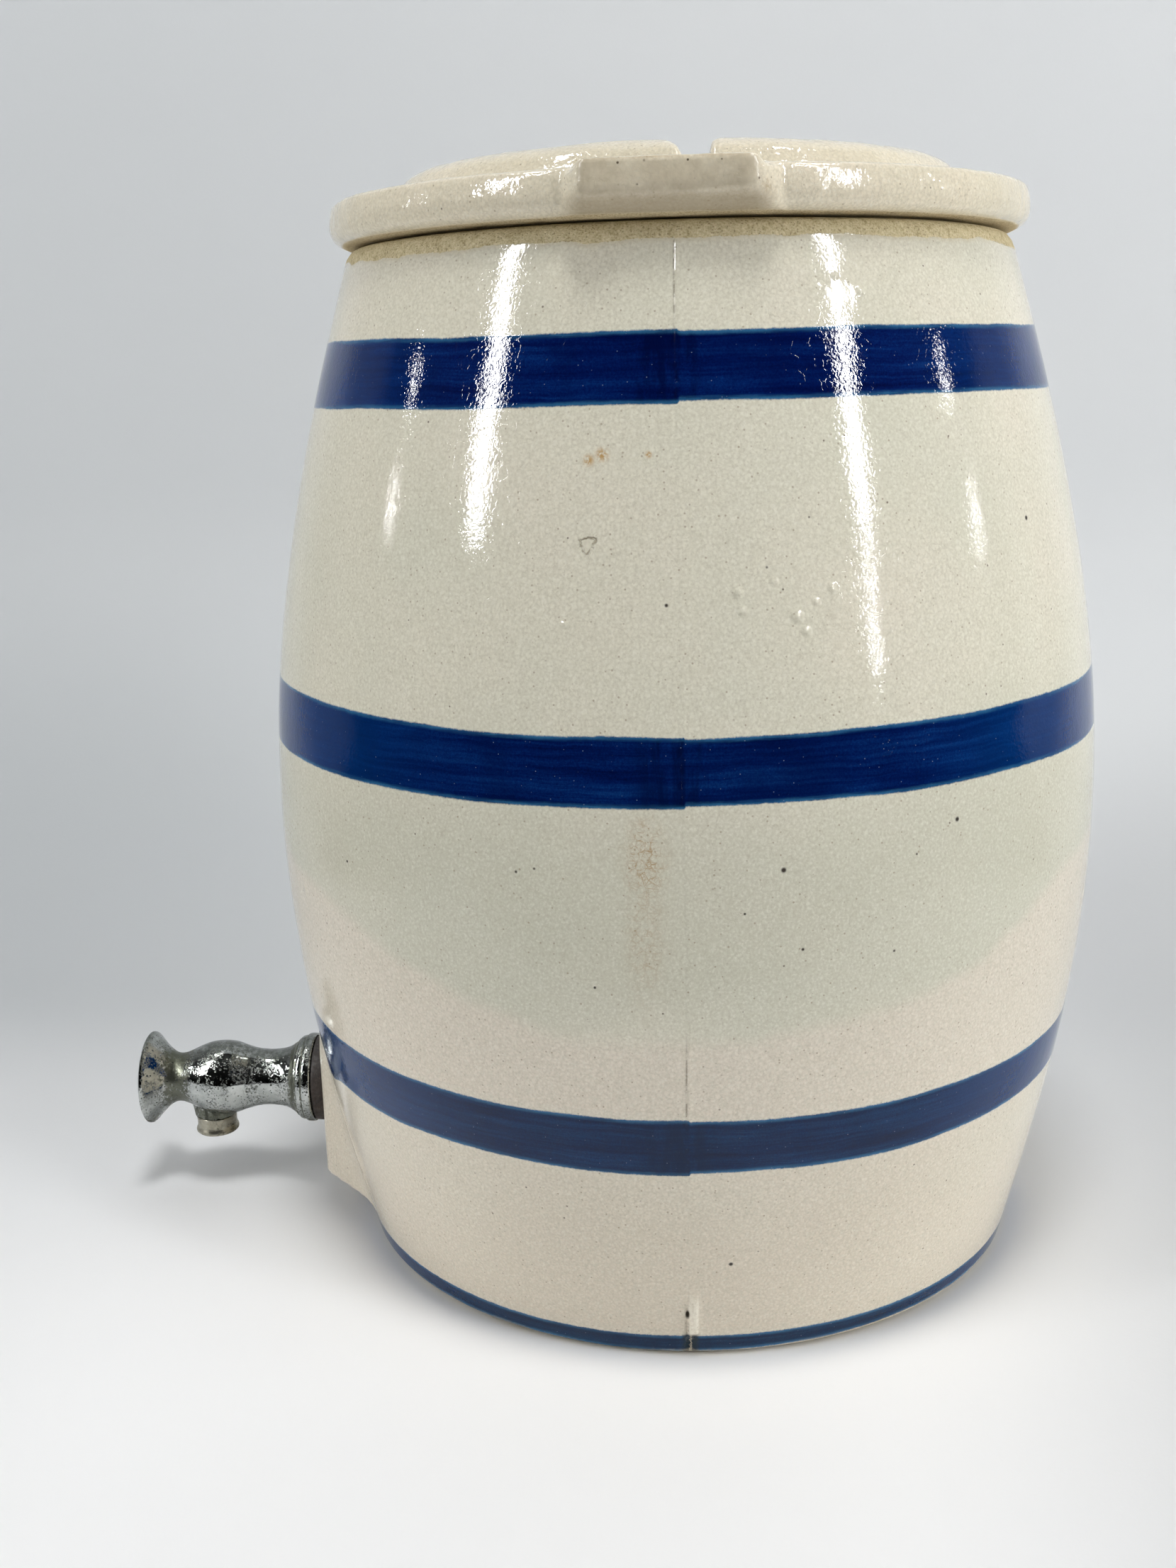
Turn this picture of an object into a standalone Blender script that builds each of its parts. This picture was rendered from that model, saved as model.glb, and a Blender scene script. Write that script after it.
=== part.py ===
# Stoneware water pot with a lift-off lid and a push-button tap.
#
# Frame: metres, +Z up, origin at the centre of the pot's flat base.
# The tap points along -Y; the lug that the lid shows in profile is on +X.
# Lengths below are in millimetres and are scaled by MM where they are used.

import bpy
import bmesh
import math
from mathutils import Vector

MM = 0.001

# ---------------------------------------------------------------- dimensions
# Pot: a barrel whose radius is a smooth polynomial in height.
BELLY_R = 133.0            # widest radius
BELLY_Z = 146.5            # height of the widest plane
BARREL_A, BARREL_B, BARREL_C = 0.16854, 0.00519, 0.01942
RIM_Z = 318.1              # top of the unglazed rim
RIM_SHOULDER_Z = 313.0     # where the rim starts to round over
RIM_IN_R = 89.2            # clear mouth radius
WALL = 11.5                # wall of the body
FLOOR_Z = 13.0             # inside floor
FOOT_ROUND = 1.0           # small round at the foot

# Moulded pad that carries the tap.
PAD_Y = -125.5             # flat outer face
PAD_HALF = 20.0            # half width of that face
PAD_ROOT_HALF = 41.0       # half width where its sides meet the barrel
PAD_ROOT_Y = -104.0
PAD_LOW_Z, PAD_HIGH_Z = 12.0, 65.0
PAD_ROOF_Z, PAD_ROOF_Y = 76.0, -120.5
SEAT_Y = -113.5            # flat seat inside for gasket and nut
SEAT_R = 19.5
TAP_Z = 38.4               # axis of the tap above the base
TAP_HOLE_R = 9.8

# Lid.
LID_R = 106.7
LID_UNDER_Z = 318.45
LID_LEDGE_Z = 330.7
LID_TOP_Z = 341.0
PLATEAU_R = 86.2
SPIGOT_R, SPIGOT_IN_R, SPIGOT_Z = 85.6, 78.2, 310.0
LID_HOLLOW_Z = 324.0
LUG_X, LUG_Y0, LUG_Y1 = 110.0, -26.0, 24.5
LUG_Z0, LUG_Z1 = 319.2, 331.2
SLOT_Y0, SLOT_Y1, SLOT_FLOOR_Z = 2.3, 11.3, 331.2

# Tap: distances along the tap are the world Y they end up at.
SHANK_R, SHANK_END = 9.2, -98.0
BORE_R = 7.6
FLANGE_BACK, FLANGE_R = -130.8, 15.5
TRUMPET_R, TRUMPET_Y = 16.4, -191.4
GUIDE_R = 6.2
GLAND_FRONT, GLAND_BACK = -177.6, -174.6
STEM_R, STEM_HOLE_R = 1.5, 1.8
SEAT_LIP_Y, SEAT_HOLE_R = -154.6, 4.6
SPOUT_Y, SPOUT_R, SPOUT_LIP_R = -168.8, 7.1, 7.6
SPOUT_BORE_R, SPOUT_SPIGOT_R = 4.6, 5.6
SPOUT_END = -20.1          # below the tap's axis
STUB_R, STUB_END = 7.4, -13.6
TRAVEL = 3.0               # how far the button can be pressed
GAP = 0.3                  # clearance between pieces that touch

SEG_POT, SEG_LID, SEG_TAP, SEG_SMALL = 60, 56, 24, 20


def barrel(z):
    """Outer radius of the barrel at height z."""
    t = (z - BELLY_Z) / BELLY_R
    return BELLY_R * (1 - BARREL_A * t**2 - BARREL_B * t**3 + BARREL_C * t**4)


# ---------------------------------------------------------------- scene set-up
for ob in list(bpy.data.objects):
    bpy.data.objects.remove(ob, do_unlink=True)


def collection(name):
    col = bpy.data.collections.new(name)
    bpy.context.scene.collection.children.link(col)
    return col


PARTS = collection("clay_water_pot_with_tap")
CUTTERS = collection("cutters")


def finish(name, rgb, roughness, metallic):
    mat = bpy.data.materials.new(name)
    mat.use_nodes = True
    bsdf = mat.node_tree.nodes["Principled BSDF"]
    bsdf.inputs["Base Color"].default_value = (*rgb, 1.0)
    bsdf.inputs["Roughness"].default_value = roughness
    bsdf.inputs["Metallic"].default_value = metallic
    mat.diffuse_color = (*rgb, 1.0)
    return mat


def add(name, mesh, col, mat=None):
    ob = bpy.data.objects.new(name, mesh)
    col.objects.link(ob)
    if mat:
        mesh.materials.append(mat)
    if col is CUTTERS:
        ob.hide_render = True
        ob.display_type = "WIRE"
    return ob


def smooth(ob, angle=35):
    ob.data.shade_smooth()
    ob.data.set_sharp_from_angle(angle=math.radians(angle))


def turned(name, profile, steps, col=PARTS, mat=None, closed=False, along_y=False):
    """A profile of (radius, height) points turned about its axis.

    The profile runs from the top, down the outer side. closed joins its ends,
    for a ring. along_y lays the axis along world Y at the tap's height.
    """
    mesh = bpy.data.meshes.new(name)
    bm = bmesh.new()
    vs = [bm.verts.new((r * MM, 0, h * MM)) for r, h in profile]
    for a, b in zip(vs, vs[1:]):
        bm.edges.new((a, b))
    if closed:
        bm.edges.new((vs[-1], vs[0]))
    bm.to_mesh(mesh)
    bm.free()
    ob = add(name, mesh, col, mat)
    screw = ob.modifiers.new("turn", "SCREW")
    screw.axis = "Z"
    screw.angle = math.tau
    screw.steps = steps
    screw.render_steps = steps
    screw.use_merge_vertices = True
    screw.merge_threshold = 0.00001
    screw.use_smooth_shade = True
    if along_y:
        ob.rotation_euler = (-math.pi / 2, 0, 0)
        ob.location = (0, 0, TAP_Z * MM)
    return ob


def cylinder(name, radius, y0, y1, steps, col=CUTTERS, centre=(0, 0), mat=None, axis="Y"):
    """A cylinder from y0 to y1 along world Y, or along Z with axis Z."""
    mesh = bpy.data.meshes.new(name)
    bm = bmesh.new()
    bmesh.ops.create_cone(
        bm, cap_ends=True, segments=steps, radius1=radius * MM, radius2=radius * MM,
        depth=abs(y1 - y0) * MM,
    )
    bm.to_mesh(mesh)
    bm.free()
    ob = add(name, mesh, col, mat)
    mid = (y0 + y1) / 2 * MM
    if axis == "Y":
        ob.rotation_euler = (-math.pi / 2, 0, 0)
        ob.location = (centre[0] * MM, mid, centre[1] * MM)
    else:
        ob.location = (centre[0] * MM, centre[1] * MM, mid)
    return ob


def cut(ob, cutter, operation="DIFFERENCE"):
    mod = ob.modifiers.new(cutter.name, "BOOLEAN")
    mod.operation = operation
    mod.solver = "EXACT"
    mod.object = cutter
    return mod


def outline_prism(name, points, plane, lo, hi, col=CUTTERS):
    """A flat outline pushed out into a prism.

    plane "XY" extrudes along Z, plane "YZ" extrudes along X.
    """
    mesh = bpy.data.meshes.new(name)
    bm = bmesh.new()
    if plane == "XY":
        vs = [bm.verts.new((a * MM, b * MM, lo * MM)) for a, b in points]
        step = Vector((0, 0, (hi - lo) * MM))
    else:
        vs = [bm.verts.new((lo * MM, a * MM, b * MM)) for a, b in points]
        step = Vector(((hi - lo) * MM, 0, 0))
    face = bm.faces.new(vs)
    out = bmesh.ops.extrude_face_region(bm, geom=[face])
    moved = [g for g in out["geom"] if isinstance(g, bmesh.types.BMVert)]
    bmesh.ops.translate(bm, vec=step, verts=moved)
    bmesh.ops.recalc_face_normals(bm, faces=bm.faces)
    bm.to_mesh(mesh)
    bm.free()
    return add(name, mesh, col)


# ---------------------------------------------------------------- finishes
GLAZE = finish("cream_glaze", (0.76, 0.72, 0.62), 0.22, 0.0)
LID_GLAZE = finish("lid_glaze", (0.78, 0.75, 0.66), 0.2, 0.0)
PLATED = finish("plated_brass", (0.62, 0.62, 0.6), 0.2, 1.0)
SPOUT_METAL = finish("worn_spout_brass", (0.52, 0.48, 0.38), 0.4, 1.0)
BUTTON_METAL = finish("button_plated_brass", (0.66, 0.66, 0.64), 0.22, 1.0)
STEM_METAL = finish("stem_brass", (0.7, 0.55, 0.28), 0.3, 1.0)
SPRING_METAL = finish("spring_steel", (0.55, 0.55, 0.55), 0.3, 1.0)
WASHER_METAL = finish("washer_brass", (0.62, 0.5, 0.28), 0.4, 1.0)
NUT_METAL = finish("nut_brass", (0.65, 0.52, 0.28), 0.38, 1.0)
CUP_METAL = finish("valve_cup_brass", (0.66, 0.54, 0.3), 0.35, 1.0)
SMALL_NUT = finish("valve_nut_brass", (0.66, 0.54, 0.3), 0.35, 1.0)
GLAND_METAL = finish("gland_washer_brass", (0.66, 0.54, 0.3), 0.35, 1.0)
GASKET_OUT = finish("outer_gasket_rubber", (0.045, 0.035, 0.028), 0.6, 0.0)
GASKET_IN = finish("inner_gasket_rubber", (0.05, 0.04, 0.035), 0.65, 0.0)
DISC_RUBBER = finish("valve_disc_rubber", (0.04, 0.04, 0.04), 0.6, 0.0)
SEAL_RUBBER = finish("stem_seal_rubber", (0.04, 0.04, 0.04), 0.6, 0.0)

# ---------------------------------------------------------------- pot
levels = [16, 38, 62, 88, 116, 146, 176, 206, 235, 262, 288]
outer = [
    (RIM_IN_R + 7.2, RIM_Z), (RIM_IN_R + 10.8, RIM_Z - 0.9),
    (RIM_IN_R + 12.6, RIM_Z - 2.6), (barrel(RIM_SHOULDER_Z), RIM_SHOULDER_Z),
]
outer += [(barrel(z), z) for z in reversed(levels)]
outer += [(barrel(FOOT_ROUND), FOOT_ROUND), (barrel(0) - FOOT_ROUND, 0.0), (0.0, 0.0)]
pot_profile = [(0.0, RIM_Z)] + outer
crock = turned("crock", pot_profile, SEG_POT, mat=GLAZE)

# The pad: a slanted-sided block with a sloping roof that runs into the barrel.
pad = outline_prism(
    "tap_pad",
    [(-PAD_HALF, PAD_Y), (PAD_HALF, PAD_Y), (PAD_ROOT_HALF, PAD_ROOT_Y),
     (30, -96), (-30, -96), (-PAD_ROOT_HALF, PAD_ROOT_Y)],
    "XY", PAD_LOW_Z, PAD_HIGH_Z,
)
bm = bmesh.new()
bm.from_mesh(pad.data)
bm.faces.ensure_lookup_table()
top = max(bm.faces, key=lambda f: f.calc_center_median().z)
roof = bmesh.ops.extrude_face_region(bm, geom=[top])
for v in [g for g in roof["geom"] if isinstance(g, bmesh.types.BMVert)]:
    v.co.z = PAD_ROOF_Z * MM
    v.co.x *= 0.8
    if v.co.y < PAD_ROOF_Y * MM:
        v.co.y = PAD_ROOF_Y * MM
    elif v.co.y < -100 * MM:
        v.co.y = -98 * MM
bmesh.ops.delete(bm, geom=[top], context="FACES")
bmesh.ops.recalc_face_normals(bm, faces=bm.faces)
bm.to_mesh(pad.data)
bm.free()
soft = pad.modifiers.new("soft_edges", "BEVEL")
soft.width = 3.0 * MM
soft.segments = 2
soft.limit_method = "ANGLE"
soft.angle_limit = math.radians(20)
cut(crock, pad, "UNION")

# Inside of the pot, as the shape that is taken out.
inner_levels = [38, 85, 135, 185, 230, 268]
hollow = [
    (0.0, RIM_Z + 6), (RIM_IN_R + 4.6, RIM_Z + 6), (RIM_IN_R + 4.6, RIM_Z + 0.02),
    (RIM_IN_R + 1.6, RIM_Z - 0.9), (RIM_IN_R, RIM_Z - 3.4), (RIM_IN_R, RIM_Z - 14),
]
hollow += [(barrel(z) - WALL, z) for z in reversed(inner_levels)]
low = barrel(20) - WALL
hollow += [(low - 2.6, 20), (low - 8, FLOOR_Z + 1.8), (low - 15, FLOOR_Z), (0.0, FLOOR_Z)]
cavity = turned("pot_cavity", hollow, SEG_POT, col=CUTTERS)
cut(crock, cavity)
seat = cylinder("nut_seat", SEAT_R, SEAT_Y, -88, 32, centre=(0, TAP_Z))
cut(crock, seat)
hole = cylinder("tap_hole", TAP_HOLE_R, -140, -100, 24, centre=(0, TAP_Z))
cut(crock, hole)
smooth(crock, 30)

# ---------------------------------------------------------------- lid
lid_profile = [
    (0.0, LID_TOP_Z), (62, LID_TOP_Z - 0.4), (75.4, LID_TOP_Z - 0.95),
    (81.6, LID_TOP_Z - 2.7), (85.2, LID_TOP_Z - 5.8),
    (PLATEAU_R + 0.6, LID_LEDGE_Z + 1.2), (PLATEAU_R + 2.6, LID_LEDGE_Z),
    (101.2, LID_LEDGE_Z - 0.1), (104.9, LID_LEDGE_Z - 1.7),
    (LID_R, LID_LEDGE_Z - 5.3), (LID_R - 0.6, LID_LEDGE_Z - 9.0),
    (LID_R - 3.0, LID_UNDER_Z + 0.6), (LID_R - 6.5, LID_UNDER_Z), (SPIGOT_R + 0.4, LID_UNDER_Z),
    (SPIGOT_R - 0.3, SPIGOT_Z + 0.8), (SPIGOT_R - 1.1, SPIGOT_Z), (SPIGOT_IN_R + 0.6, SPIGOT_Z),
    (SPIGOT_IN_R - 1.2, LID_HOLLOW_Z - 2.0), (SPIGOT_IN_R - 3.6, LID_HOLLOW_Z),
    (0.0, LID_HOLLOW_Z),
]
lid = turned("lid", lid_profile, SEG_LID, mat=LID_GLAZE)

# Lugs at both ends of the slot, standing a little proud of the lid's rim.
for side, name in ((1, "lid_lug_near"), (-1, "lid_lug_far")):
    mesh = bpy.data.meshes.new(name)
    bm = bmesh.new()
    bmesh.ops.create_cube(bm, size=1.0)
    bmesh.ops.scale(bm, vec=((LUG_X - 92) * MM, (LUG_Y1 - LUG_Y0) * MM, (LUG_Z1 - LUG_Z0) * MM), verts=bm.verts)
    bmesh.ops.translate(
        bm, vec=(side * (LUG_X + 92) / 2 * MM, (LUG_Y0 + LUG_Y1) / 2 * MM, (LUG_Z0 + LUG_Z1) / 2 * MM),
        verts=bm.verts)
    bm.to_mesh(mesh)
    bm.free()
    lug = add(name, mesh, CUTTERS)
    soft = lug.modifiers.new("soft_edges", "BEVEL")
    soft.width = 2.6 * MM
    soft.segments = 3
    cut(lid, lug, "UNION")

# The slot runs right across the raised centre and widens to its mouth.
slot = outline_prism(
    "lid_slot",
    [(SLOT_Y0, SLOT_FLOOR_Z), (SLOT_Y1, SLOT_FLOOR_Z), (SLOT_Y1 + 0.4, LID_TOP_Z - 3.6),
     (SLOT_Y1 + 1.4, LID_TOP_Z - 1.7), (SLOT_Y1 + 3.4, LID_TOP_Z - 0.5), (SLOT_Y1 + 5.0, LID_TOP_Z + 3),
     (SLOT_Y0 - 5.0, LID_TOP_Z + 3), (SLOT_Y0 - 3.4, LID_TOP_Z - 0.5),
     (SLOT_Y0 - 1.4, LID_TOP_Z - 1.7), (SLOT_Y0 - 0.4, LID_TOP_Z - 3.6)],
    "YZ", -98, 98,
)
cut(lid, slot)
smooth(lid, 30)

# ---------------------------------------------------------------- tap body
tap_outer = [
    (SHANK_R - 0.9, SHANK_END), (SHANK_R, SHANK_END - 0.9), (SHANK_R, FLANGE_BACK),
    (FLANGE_R, FLANGE_BACK), (FLANGE_R, -133.8), (14.7, -136.3), (13.4, -137.4),
    (12.3, -139.0), (11.0, -140.4), (10.1, -143.6), (9.85, -147.8), (10.4, -153.0),
    (12.3, -159.2), (13.15, -164.2), (12.6, -169.2),
    (10.8, -173.8), (9.0, -177.6), (8.5, -180.2), (9.4, -182.8),
    (11.6, -185.6), (14.6, -188.3), (TRUMPET_R, TRUMPET_Y + 1.0), (TRUMPET_R - 0.6, TRUMPET_Y),
]
tap_inner = [
    (TRUMPET_R - 1.6, TRUMPET_Y + 0.4), (12.6, -189.0), (9.7, -186.3), (7.3, -184.1),
    (GUIDE_R, -182.4), (GUIDE_R, GLAND_FRONT), (3.4, GLAND_FRONT), (3.4, GLAND_FRONT + 1.3),
    (STEM_HOLE_R, GLAND_FRONT + 1.3), (STEM_HOLE_R, GLAND_BACK), (6.6, GLAND_BACK),
    (9.8, -171.2), (10.8, -166.6), (10.3, -160.8), (7.6, -156.8),
    (SEAT_HOLE_R, -156.6), (SEAT_HOLE_R, SEAT_LIP_Y), (SEAT_HOLE_R + 0.6, SEAT_LIP_Y),
    (SEAT_HOLE_R + 1.0, SEAT_LIP_Y - 0.6), (BORE_R, SEAT_LIP_Y - 0.6), (BORE_R, SHANK_END),
]
tap_body = turned("tap_body", tap_outer + tap_inner, SEG_TAP, mat=PLATED, closed=True, along_y=True)
stub = cylinder("spout_stub", STUB_R, TAP_Z + STUB_END, TAP_Z - 8.8, 28, centre=(0, SPOUT_Y), axis="Z")
cut(tap_body, stub, "UNION")
socket = cylinder("spout_socket", SPOUT_SPIGOT_R + GAP, TAP_Z - 18, TAP_Z - 8.5, 28, centre=(0, SPOUT_Y), axis="Z")
cut(tap_body, socket)
smooth(tap_body, 32)

# Spout tube, let into the socket under the bulb.
spout_profile = [
    (SPOUT_BORE_R, -9.9), (SPOUT_SPIGOT_R, -9.9), (SPOUT_SPIGOT_R, STUB_END - GAP),
    (SPOUT_R, STUB_END - GAP), (SPOUT_R, -17.4), (SPOUT_LIP_R, -18.3), (SPOUT_LIP_R, -19.4),
    (SPOUT_LIP_R - 0.7, SPOUT_END), (SPOUT_BORE_R + 0.5, SPOUT_END), (SPOUT_BORE_R, SPOUT_END + 0.6),
]
spout = turned("spout_tube", spout_profile, SEG_TAP, mat=SPOUT_METAL, closed=True)
spout.location = (0, SPOUT_Y * MM, TAP_Z * MM)
smooth(spout)


def ring(name, r_in, r_out, y_far, y_near, mat, steps=SEG_TAP, edge=0.4):
    """A flat ring round the tap's axis with softened outer edges, from y_near out to y_far."""
    profile = [
        (r_in, y_near), (r_out - edge, y_near), (r_out, y_near - edge),
        (r_out, y_far + edge), (r_out - edge, y_far), (r_in, y_far),
    ]
    ob = turned(name, profile, steps, mat=mat, closed=True, along_y=True)
    smooth(ob)
    return ob


# Clamping set: gasket outside, gasket, washer and nut inside.
ring("outer_gasket", SHANK_R + GAP, 15.2, FLANGE_BACK + GAP, PAD_Y - GAP, GASKET_OUT, edge=0.6)
ring("inner_gasket", SHANK_R + GAP, 15.6, SEAT_Y + GAP, SEAT_Y + GAP + 2.5, GASKET_IN)
ring("clamp_washer", SHANK_R + GAP, 15.0, SEAT_Y + 2 * GAP + 2.5, SEAT_Y + 2 * GAP + 4.0, WASHER_METAL, edge=0.3)

NUT_NEAR = SEAT_Y + 3 * GAP + 4.0 + 7.0
NUT_FAR = SEAT_Y + 3 * GAP + 4.0


def hex_nut(name, flats, r_hole, y_far, y_near, mat, steps):
    """A hexagonal nut with turned corners, on the tap's axis."""
    across = flats / math.cos(math.pi / 6)
    nut = cylinder(name, across / 2, y_far, y_near, 6, col=PARTS, centre=(0, TAP_Z), mat=mat)
    ch = (across - flats) / 2
    blank = turned(
        name + "_blank",
        [(0, y_near), (flats / 2, y_near), (across / 2 + 0.1, y_near - ch * 0.8),
         (across / 2 + 0.1, y_far + ch * 0.8), (flats / 2, y_far), (0, y_far)],
        steps, col=CUTTERS, along_y=True)
    cut(nut, blank, "INTERSECT")
    bore = cylinder(name + "_bore", r_hole, y_far - 3, y_near + 3, steps, centre=(0, TAP_Z))
    cut(nut, bore)
    smooth(nut, 28)
    return nut


hex_nut("lock_nut", 27.0, SHANK_R + GAP, NUT_FAR, NUT_NEAR, NUT_METAL, 24)

# ---------------------------------------------------------------- plunger
CAP_Y = -187.0             # middle of the button's domed face
CAP_BACK = -185.2
SKIRT_END = GLAND_FRONT - GAP - TRAVEL
button_profile = [
    (0.0, CAP_BACK - 0.7), (STEM_HOLE_R, CAP_BACK - 0.7), (STEM_HOLE_R, -182.6), (2.7, -182.6),
    (2.7, CAP_BACK), (5.0, CAP_BACK), (5.0, SKIRT_END), (5.9, SKIRT_END),
    (5.9, -185.5), (5.4, -186.3), (4.0, -186.75), (0.0, CAP_Y),
]
button = turned("push_button", button_profile, SEG_SMALL, mat=BUTTON_METAL, along_y=True)
smooth(button)

STEM_TAIL = -147.0
stem_profile = [
    (0.0, STEM_TAIL), (STEM_R - 0.4, STEM_TAIL), (STEM_R, STEM_TAIL - 0.4),
    (STEM_R, SEAT_LIP_Y), (2.9, SEAT_LIP_Y), (2.9, SEAT_LIP_Y - 1.5), (STEM_R, SEAT_LIP_Y - 2.2),
    (STEM_R, CAP_BACK - 0.1), (STEM_R - 0.3, CAP_BACK - 0.4), (0.0, CAP_BACK - 0.4),
]
stem = turned("valve_stem", stem_profile, 20, mat=STEM_METAL, along_y=True)
smooth(stem)

DISC_FAR, DISC_NEAR = SEAT_LIP_Y + GAP, SEAT_LIP_Y + GAP + 2.5
ring("valve_disc", STEM_HOLE_R, 5.9, DISC_FAR, DISC_NEAR, DISC_RUBBER, steps=SEG_SMALL, edge=0.3)
cup_profile = [
    (STEM_HOLE_R, DISC_NEAR + GAP + 1.0), (6.2, DISC_NEAR + GAP + 1.0), (6.7, DISC_NEAR + GAP + 0.5),
    (6.7, DISC_NEAR - 1.5), (6.2, DISC_NEAR - 1.5), (6.2, DISC_NEAR + GAP), (STEM_HOLE_R, DISC_NEAR + GAP),
]
cup = turned("valve_cup", cup_profile, SEG_SMALL, mat=CUP_METAL, closed=True, along_y=True)
smooth(cup)
hex_nut("valve_nut", 5.5, STEM_HOLE_R, DISC_NEAR + 2 * GAP + 1.0, DISC_NEAR + 2 * GAP + 3.2, SMALL_NUT, 16)

# Gland: a rubber ring in its counterbore, held down by a washer under the spring.
ring("stem_seal", STEM_HOLE_R, 3.1, GLAND_FRONT + 0.1, GLAND_FRONT + 1.0, SEAL_RUBBER, steps=20, edge=0.25)
WASHER_FAR, WASHER_NEAR = GLAND_FRONT - GAP - 0.5, GLAND_FRONT - GAP
ring("gland_washer", STEM_HOLE_R, 4.7, WASHER_FAR, WASHER_NEAR, GLAND_METAL, steps=20, edge=0.12)

# Return spring: open coils with a closed coil at each end, from washer to button.
WIRE_R, COIL_R = 0.3, 4.25
FRONT_END, BACK_END = CAP_BACK + GAP + WIRE_R, WASHER_FAR - GAP - WIRE_R
TURNS, PER_TURN = 4.5, 12
curve = bpy.data.curves.new("return_spring", "CURVE")
curve.dimensions = "3D"
curve.bevel_depth = WIRE_R * MM
curve.bevel_resolution = 2
curve.use_fill_caps = True
line = curve.splines.new("POLY")
count = int(TURNS * PER_TURN) + 1
line.points.add(count - 1)
for i in range(count):
    turn = i / PER_TURN
    share = min(max((turn - 0.75) / (TURNS - 1.5), 0.0), 1.0)
    end_lift = min(turn, 0.75) / 0.75 * 0.5 + max(turn - (TURNS - 0.75), 0.0) / 0.75 * 0.5
    share = (share * (1 - 0.22)) + end_lift * 0.22
    a = turn * math.tau
    y = FRONT_END + share * (BACK_END - FRONT_END)
    line.points[i].co = (COIL_R * math.cos(a) * MM, y * MM, (TAP_Z + COIL_R * math.sin(a)) * MM, 1)
wire = bpy.data.objects.new("return_spring_wire", curve)
PARTS.objects.link(wire)
bpy.context.view_layer.update()
evaluated = wire.evaluated_get(bpy.context.evaluated_depsgraph_get())
mesh = bpy.data.meshes.new_from_object(evaluated)
mesh.name = "return_spring"
bm = bmesh.new()
bm.from_mesh(mesh)
bmesh.ops.remove_doubles(bm, verts=bm.verts, dist=0.000002)
bmesh.ops.recalc_face_normals(bm, faces=bm.faces)
# The origin goes onto the tap's axis, where the spring's fixed end sits.
bmesh.ops.translate(bm, vec=(0, 0, -TAP_Z * MM), verts=bm.verts)
bm.to_mesh(mesh)
bm.free()
spring = add("return_spring", mesh, PARTS)
spring.matrix_world = wire.matrix_world
spring.location = (0, 0, TAP_Z * MM)
mesh.materials.clear()
mesh.materials.append(SPRING_METAL)
bpy.data.objects.remove(wire, do_unlink=True)
smooth(spring, 50)

# Moving pieces share an empty on the axis that the button slides along.
press_axis = bpy.data.objects.new("button_axis", None)
press_axis.location = (0, CAP_Y * MM, TAP_Z * MM)
press_axis.empty_display_size = 0.01
PARTS.objects.link(press_axis)
bpy.context.view_layer.update()
for name in ("push_button", "valve_stem", "valve_disc", "valve_cup", "valve_nut"):
    ob = bpy.data.objects[name]
    world = ob.matrix_world.copy()
    ob.parent = press_axis
    ob.matrix_parent_inverse = press_axis.matrix_world.inverted()
    ob.matrix_world = world
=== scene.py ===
# Looks for the stoneware water pot with tap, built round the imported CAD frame.
#
# Every shape is made here in code, in millimetres, in the frame of the CAD:
# +Z up, origin at the centre of the pot's base, tap along -Y, the lug that the
# main view shows on +X. Materials are procedural and use object coordinates.

import math

import bpy
import numpy as np
from mathutils import Matrix, Vector


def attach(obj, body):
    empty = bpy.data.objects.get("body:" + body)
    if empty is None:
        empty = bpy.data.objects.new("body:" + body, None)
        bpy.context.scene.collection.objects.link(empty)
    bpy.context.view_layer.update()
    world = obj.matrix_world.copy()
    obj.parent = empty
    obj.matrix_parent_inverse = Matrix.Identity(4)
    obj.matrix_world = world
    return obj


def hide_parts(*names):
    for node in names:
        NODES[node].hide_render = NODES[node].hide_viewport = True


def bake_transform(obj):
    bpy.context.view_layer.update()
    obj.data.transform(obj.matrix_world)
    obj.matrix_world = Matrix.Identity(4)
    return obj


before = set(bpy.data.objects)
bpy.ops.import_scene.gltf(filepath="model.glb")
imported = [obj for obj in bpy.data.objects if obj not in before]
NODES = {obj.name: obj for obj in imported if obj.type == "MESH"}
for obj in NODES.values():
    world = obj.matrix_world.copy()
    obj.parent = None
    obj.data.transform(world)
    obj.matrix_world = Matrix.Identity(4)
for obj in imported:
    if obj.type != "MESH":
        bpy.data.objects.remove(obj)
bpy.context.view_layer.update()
MM = 0.001


# =============================================================== small maths
def hashed(ix, iy, iz, seed):
    """Repeatable pseudo-random numbers from 0 to 1 on a lattice."""
    n = (ix.astype(np.int64) * 374761393 + iy.astype(np.int64) * 668265263
         + iz.astype(np.int64) * 1440662683 + seed * 974634777) & 0xFFFFFFFF
    n = ((n ^ (n >> 13)) * 1274126177) & 0xFFFFFFFF
    n = ((n ^ (n >> 16)) * 2246822519) & 0xFFFFFFFF
    return ((n ^ (n >> 15)) & 0xFFFFFF) / float(0xFFFFFF)


def value_noise(p, size, seed=0):
    """Smooth noise from -1 to 1 whose lumps are about size millimetres."""
    q = np.asarray(p, float) / size
    i = np.floor(q)
    f = q - i
    f = f * f * f * (f * (f * 6 - 15) + 10)
    i = i.astype(np.int64)
    out = 0.0
    for dx in (0, 1):
        for dy in (0, 1):
            for dz in (0, 1):
                w = ((f[..., 0] if dx else 1 - f[..., 0]) * (f[..., 1] if dy else 1 - f[..., 1])
                     * (f[..., 2] if dz else 1 - f[..., 2]))
                out = out + w * hashed(i[..., 0] + dx, i[..., 1] + dy, i[..., 2] + dz, seed)
    return out * 2 - 1


def smooth_min(a, b, k):
    h = np.maximum(k - np.abs(a - b), 0) / k
    return np.minimum(a, b) - h * h * k / 4


def smooth_max(a, b, k):
    return -smooth_min(-a, -b, k)


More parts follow.
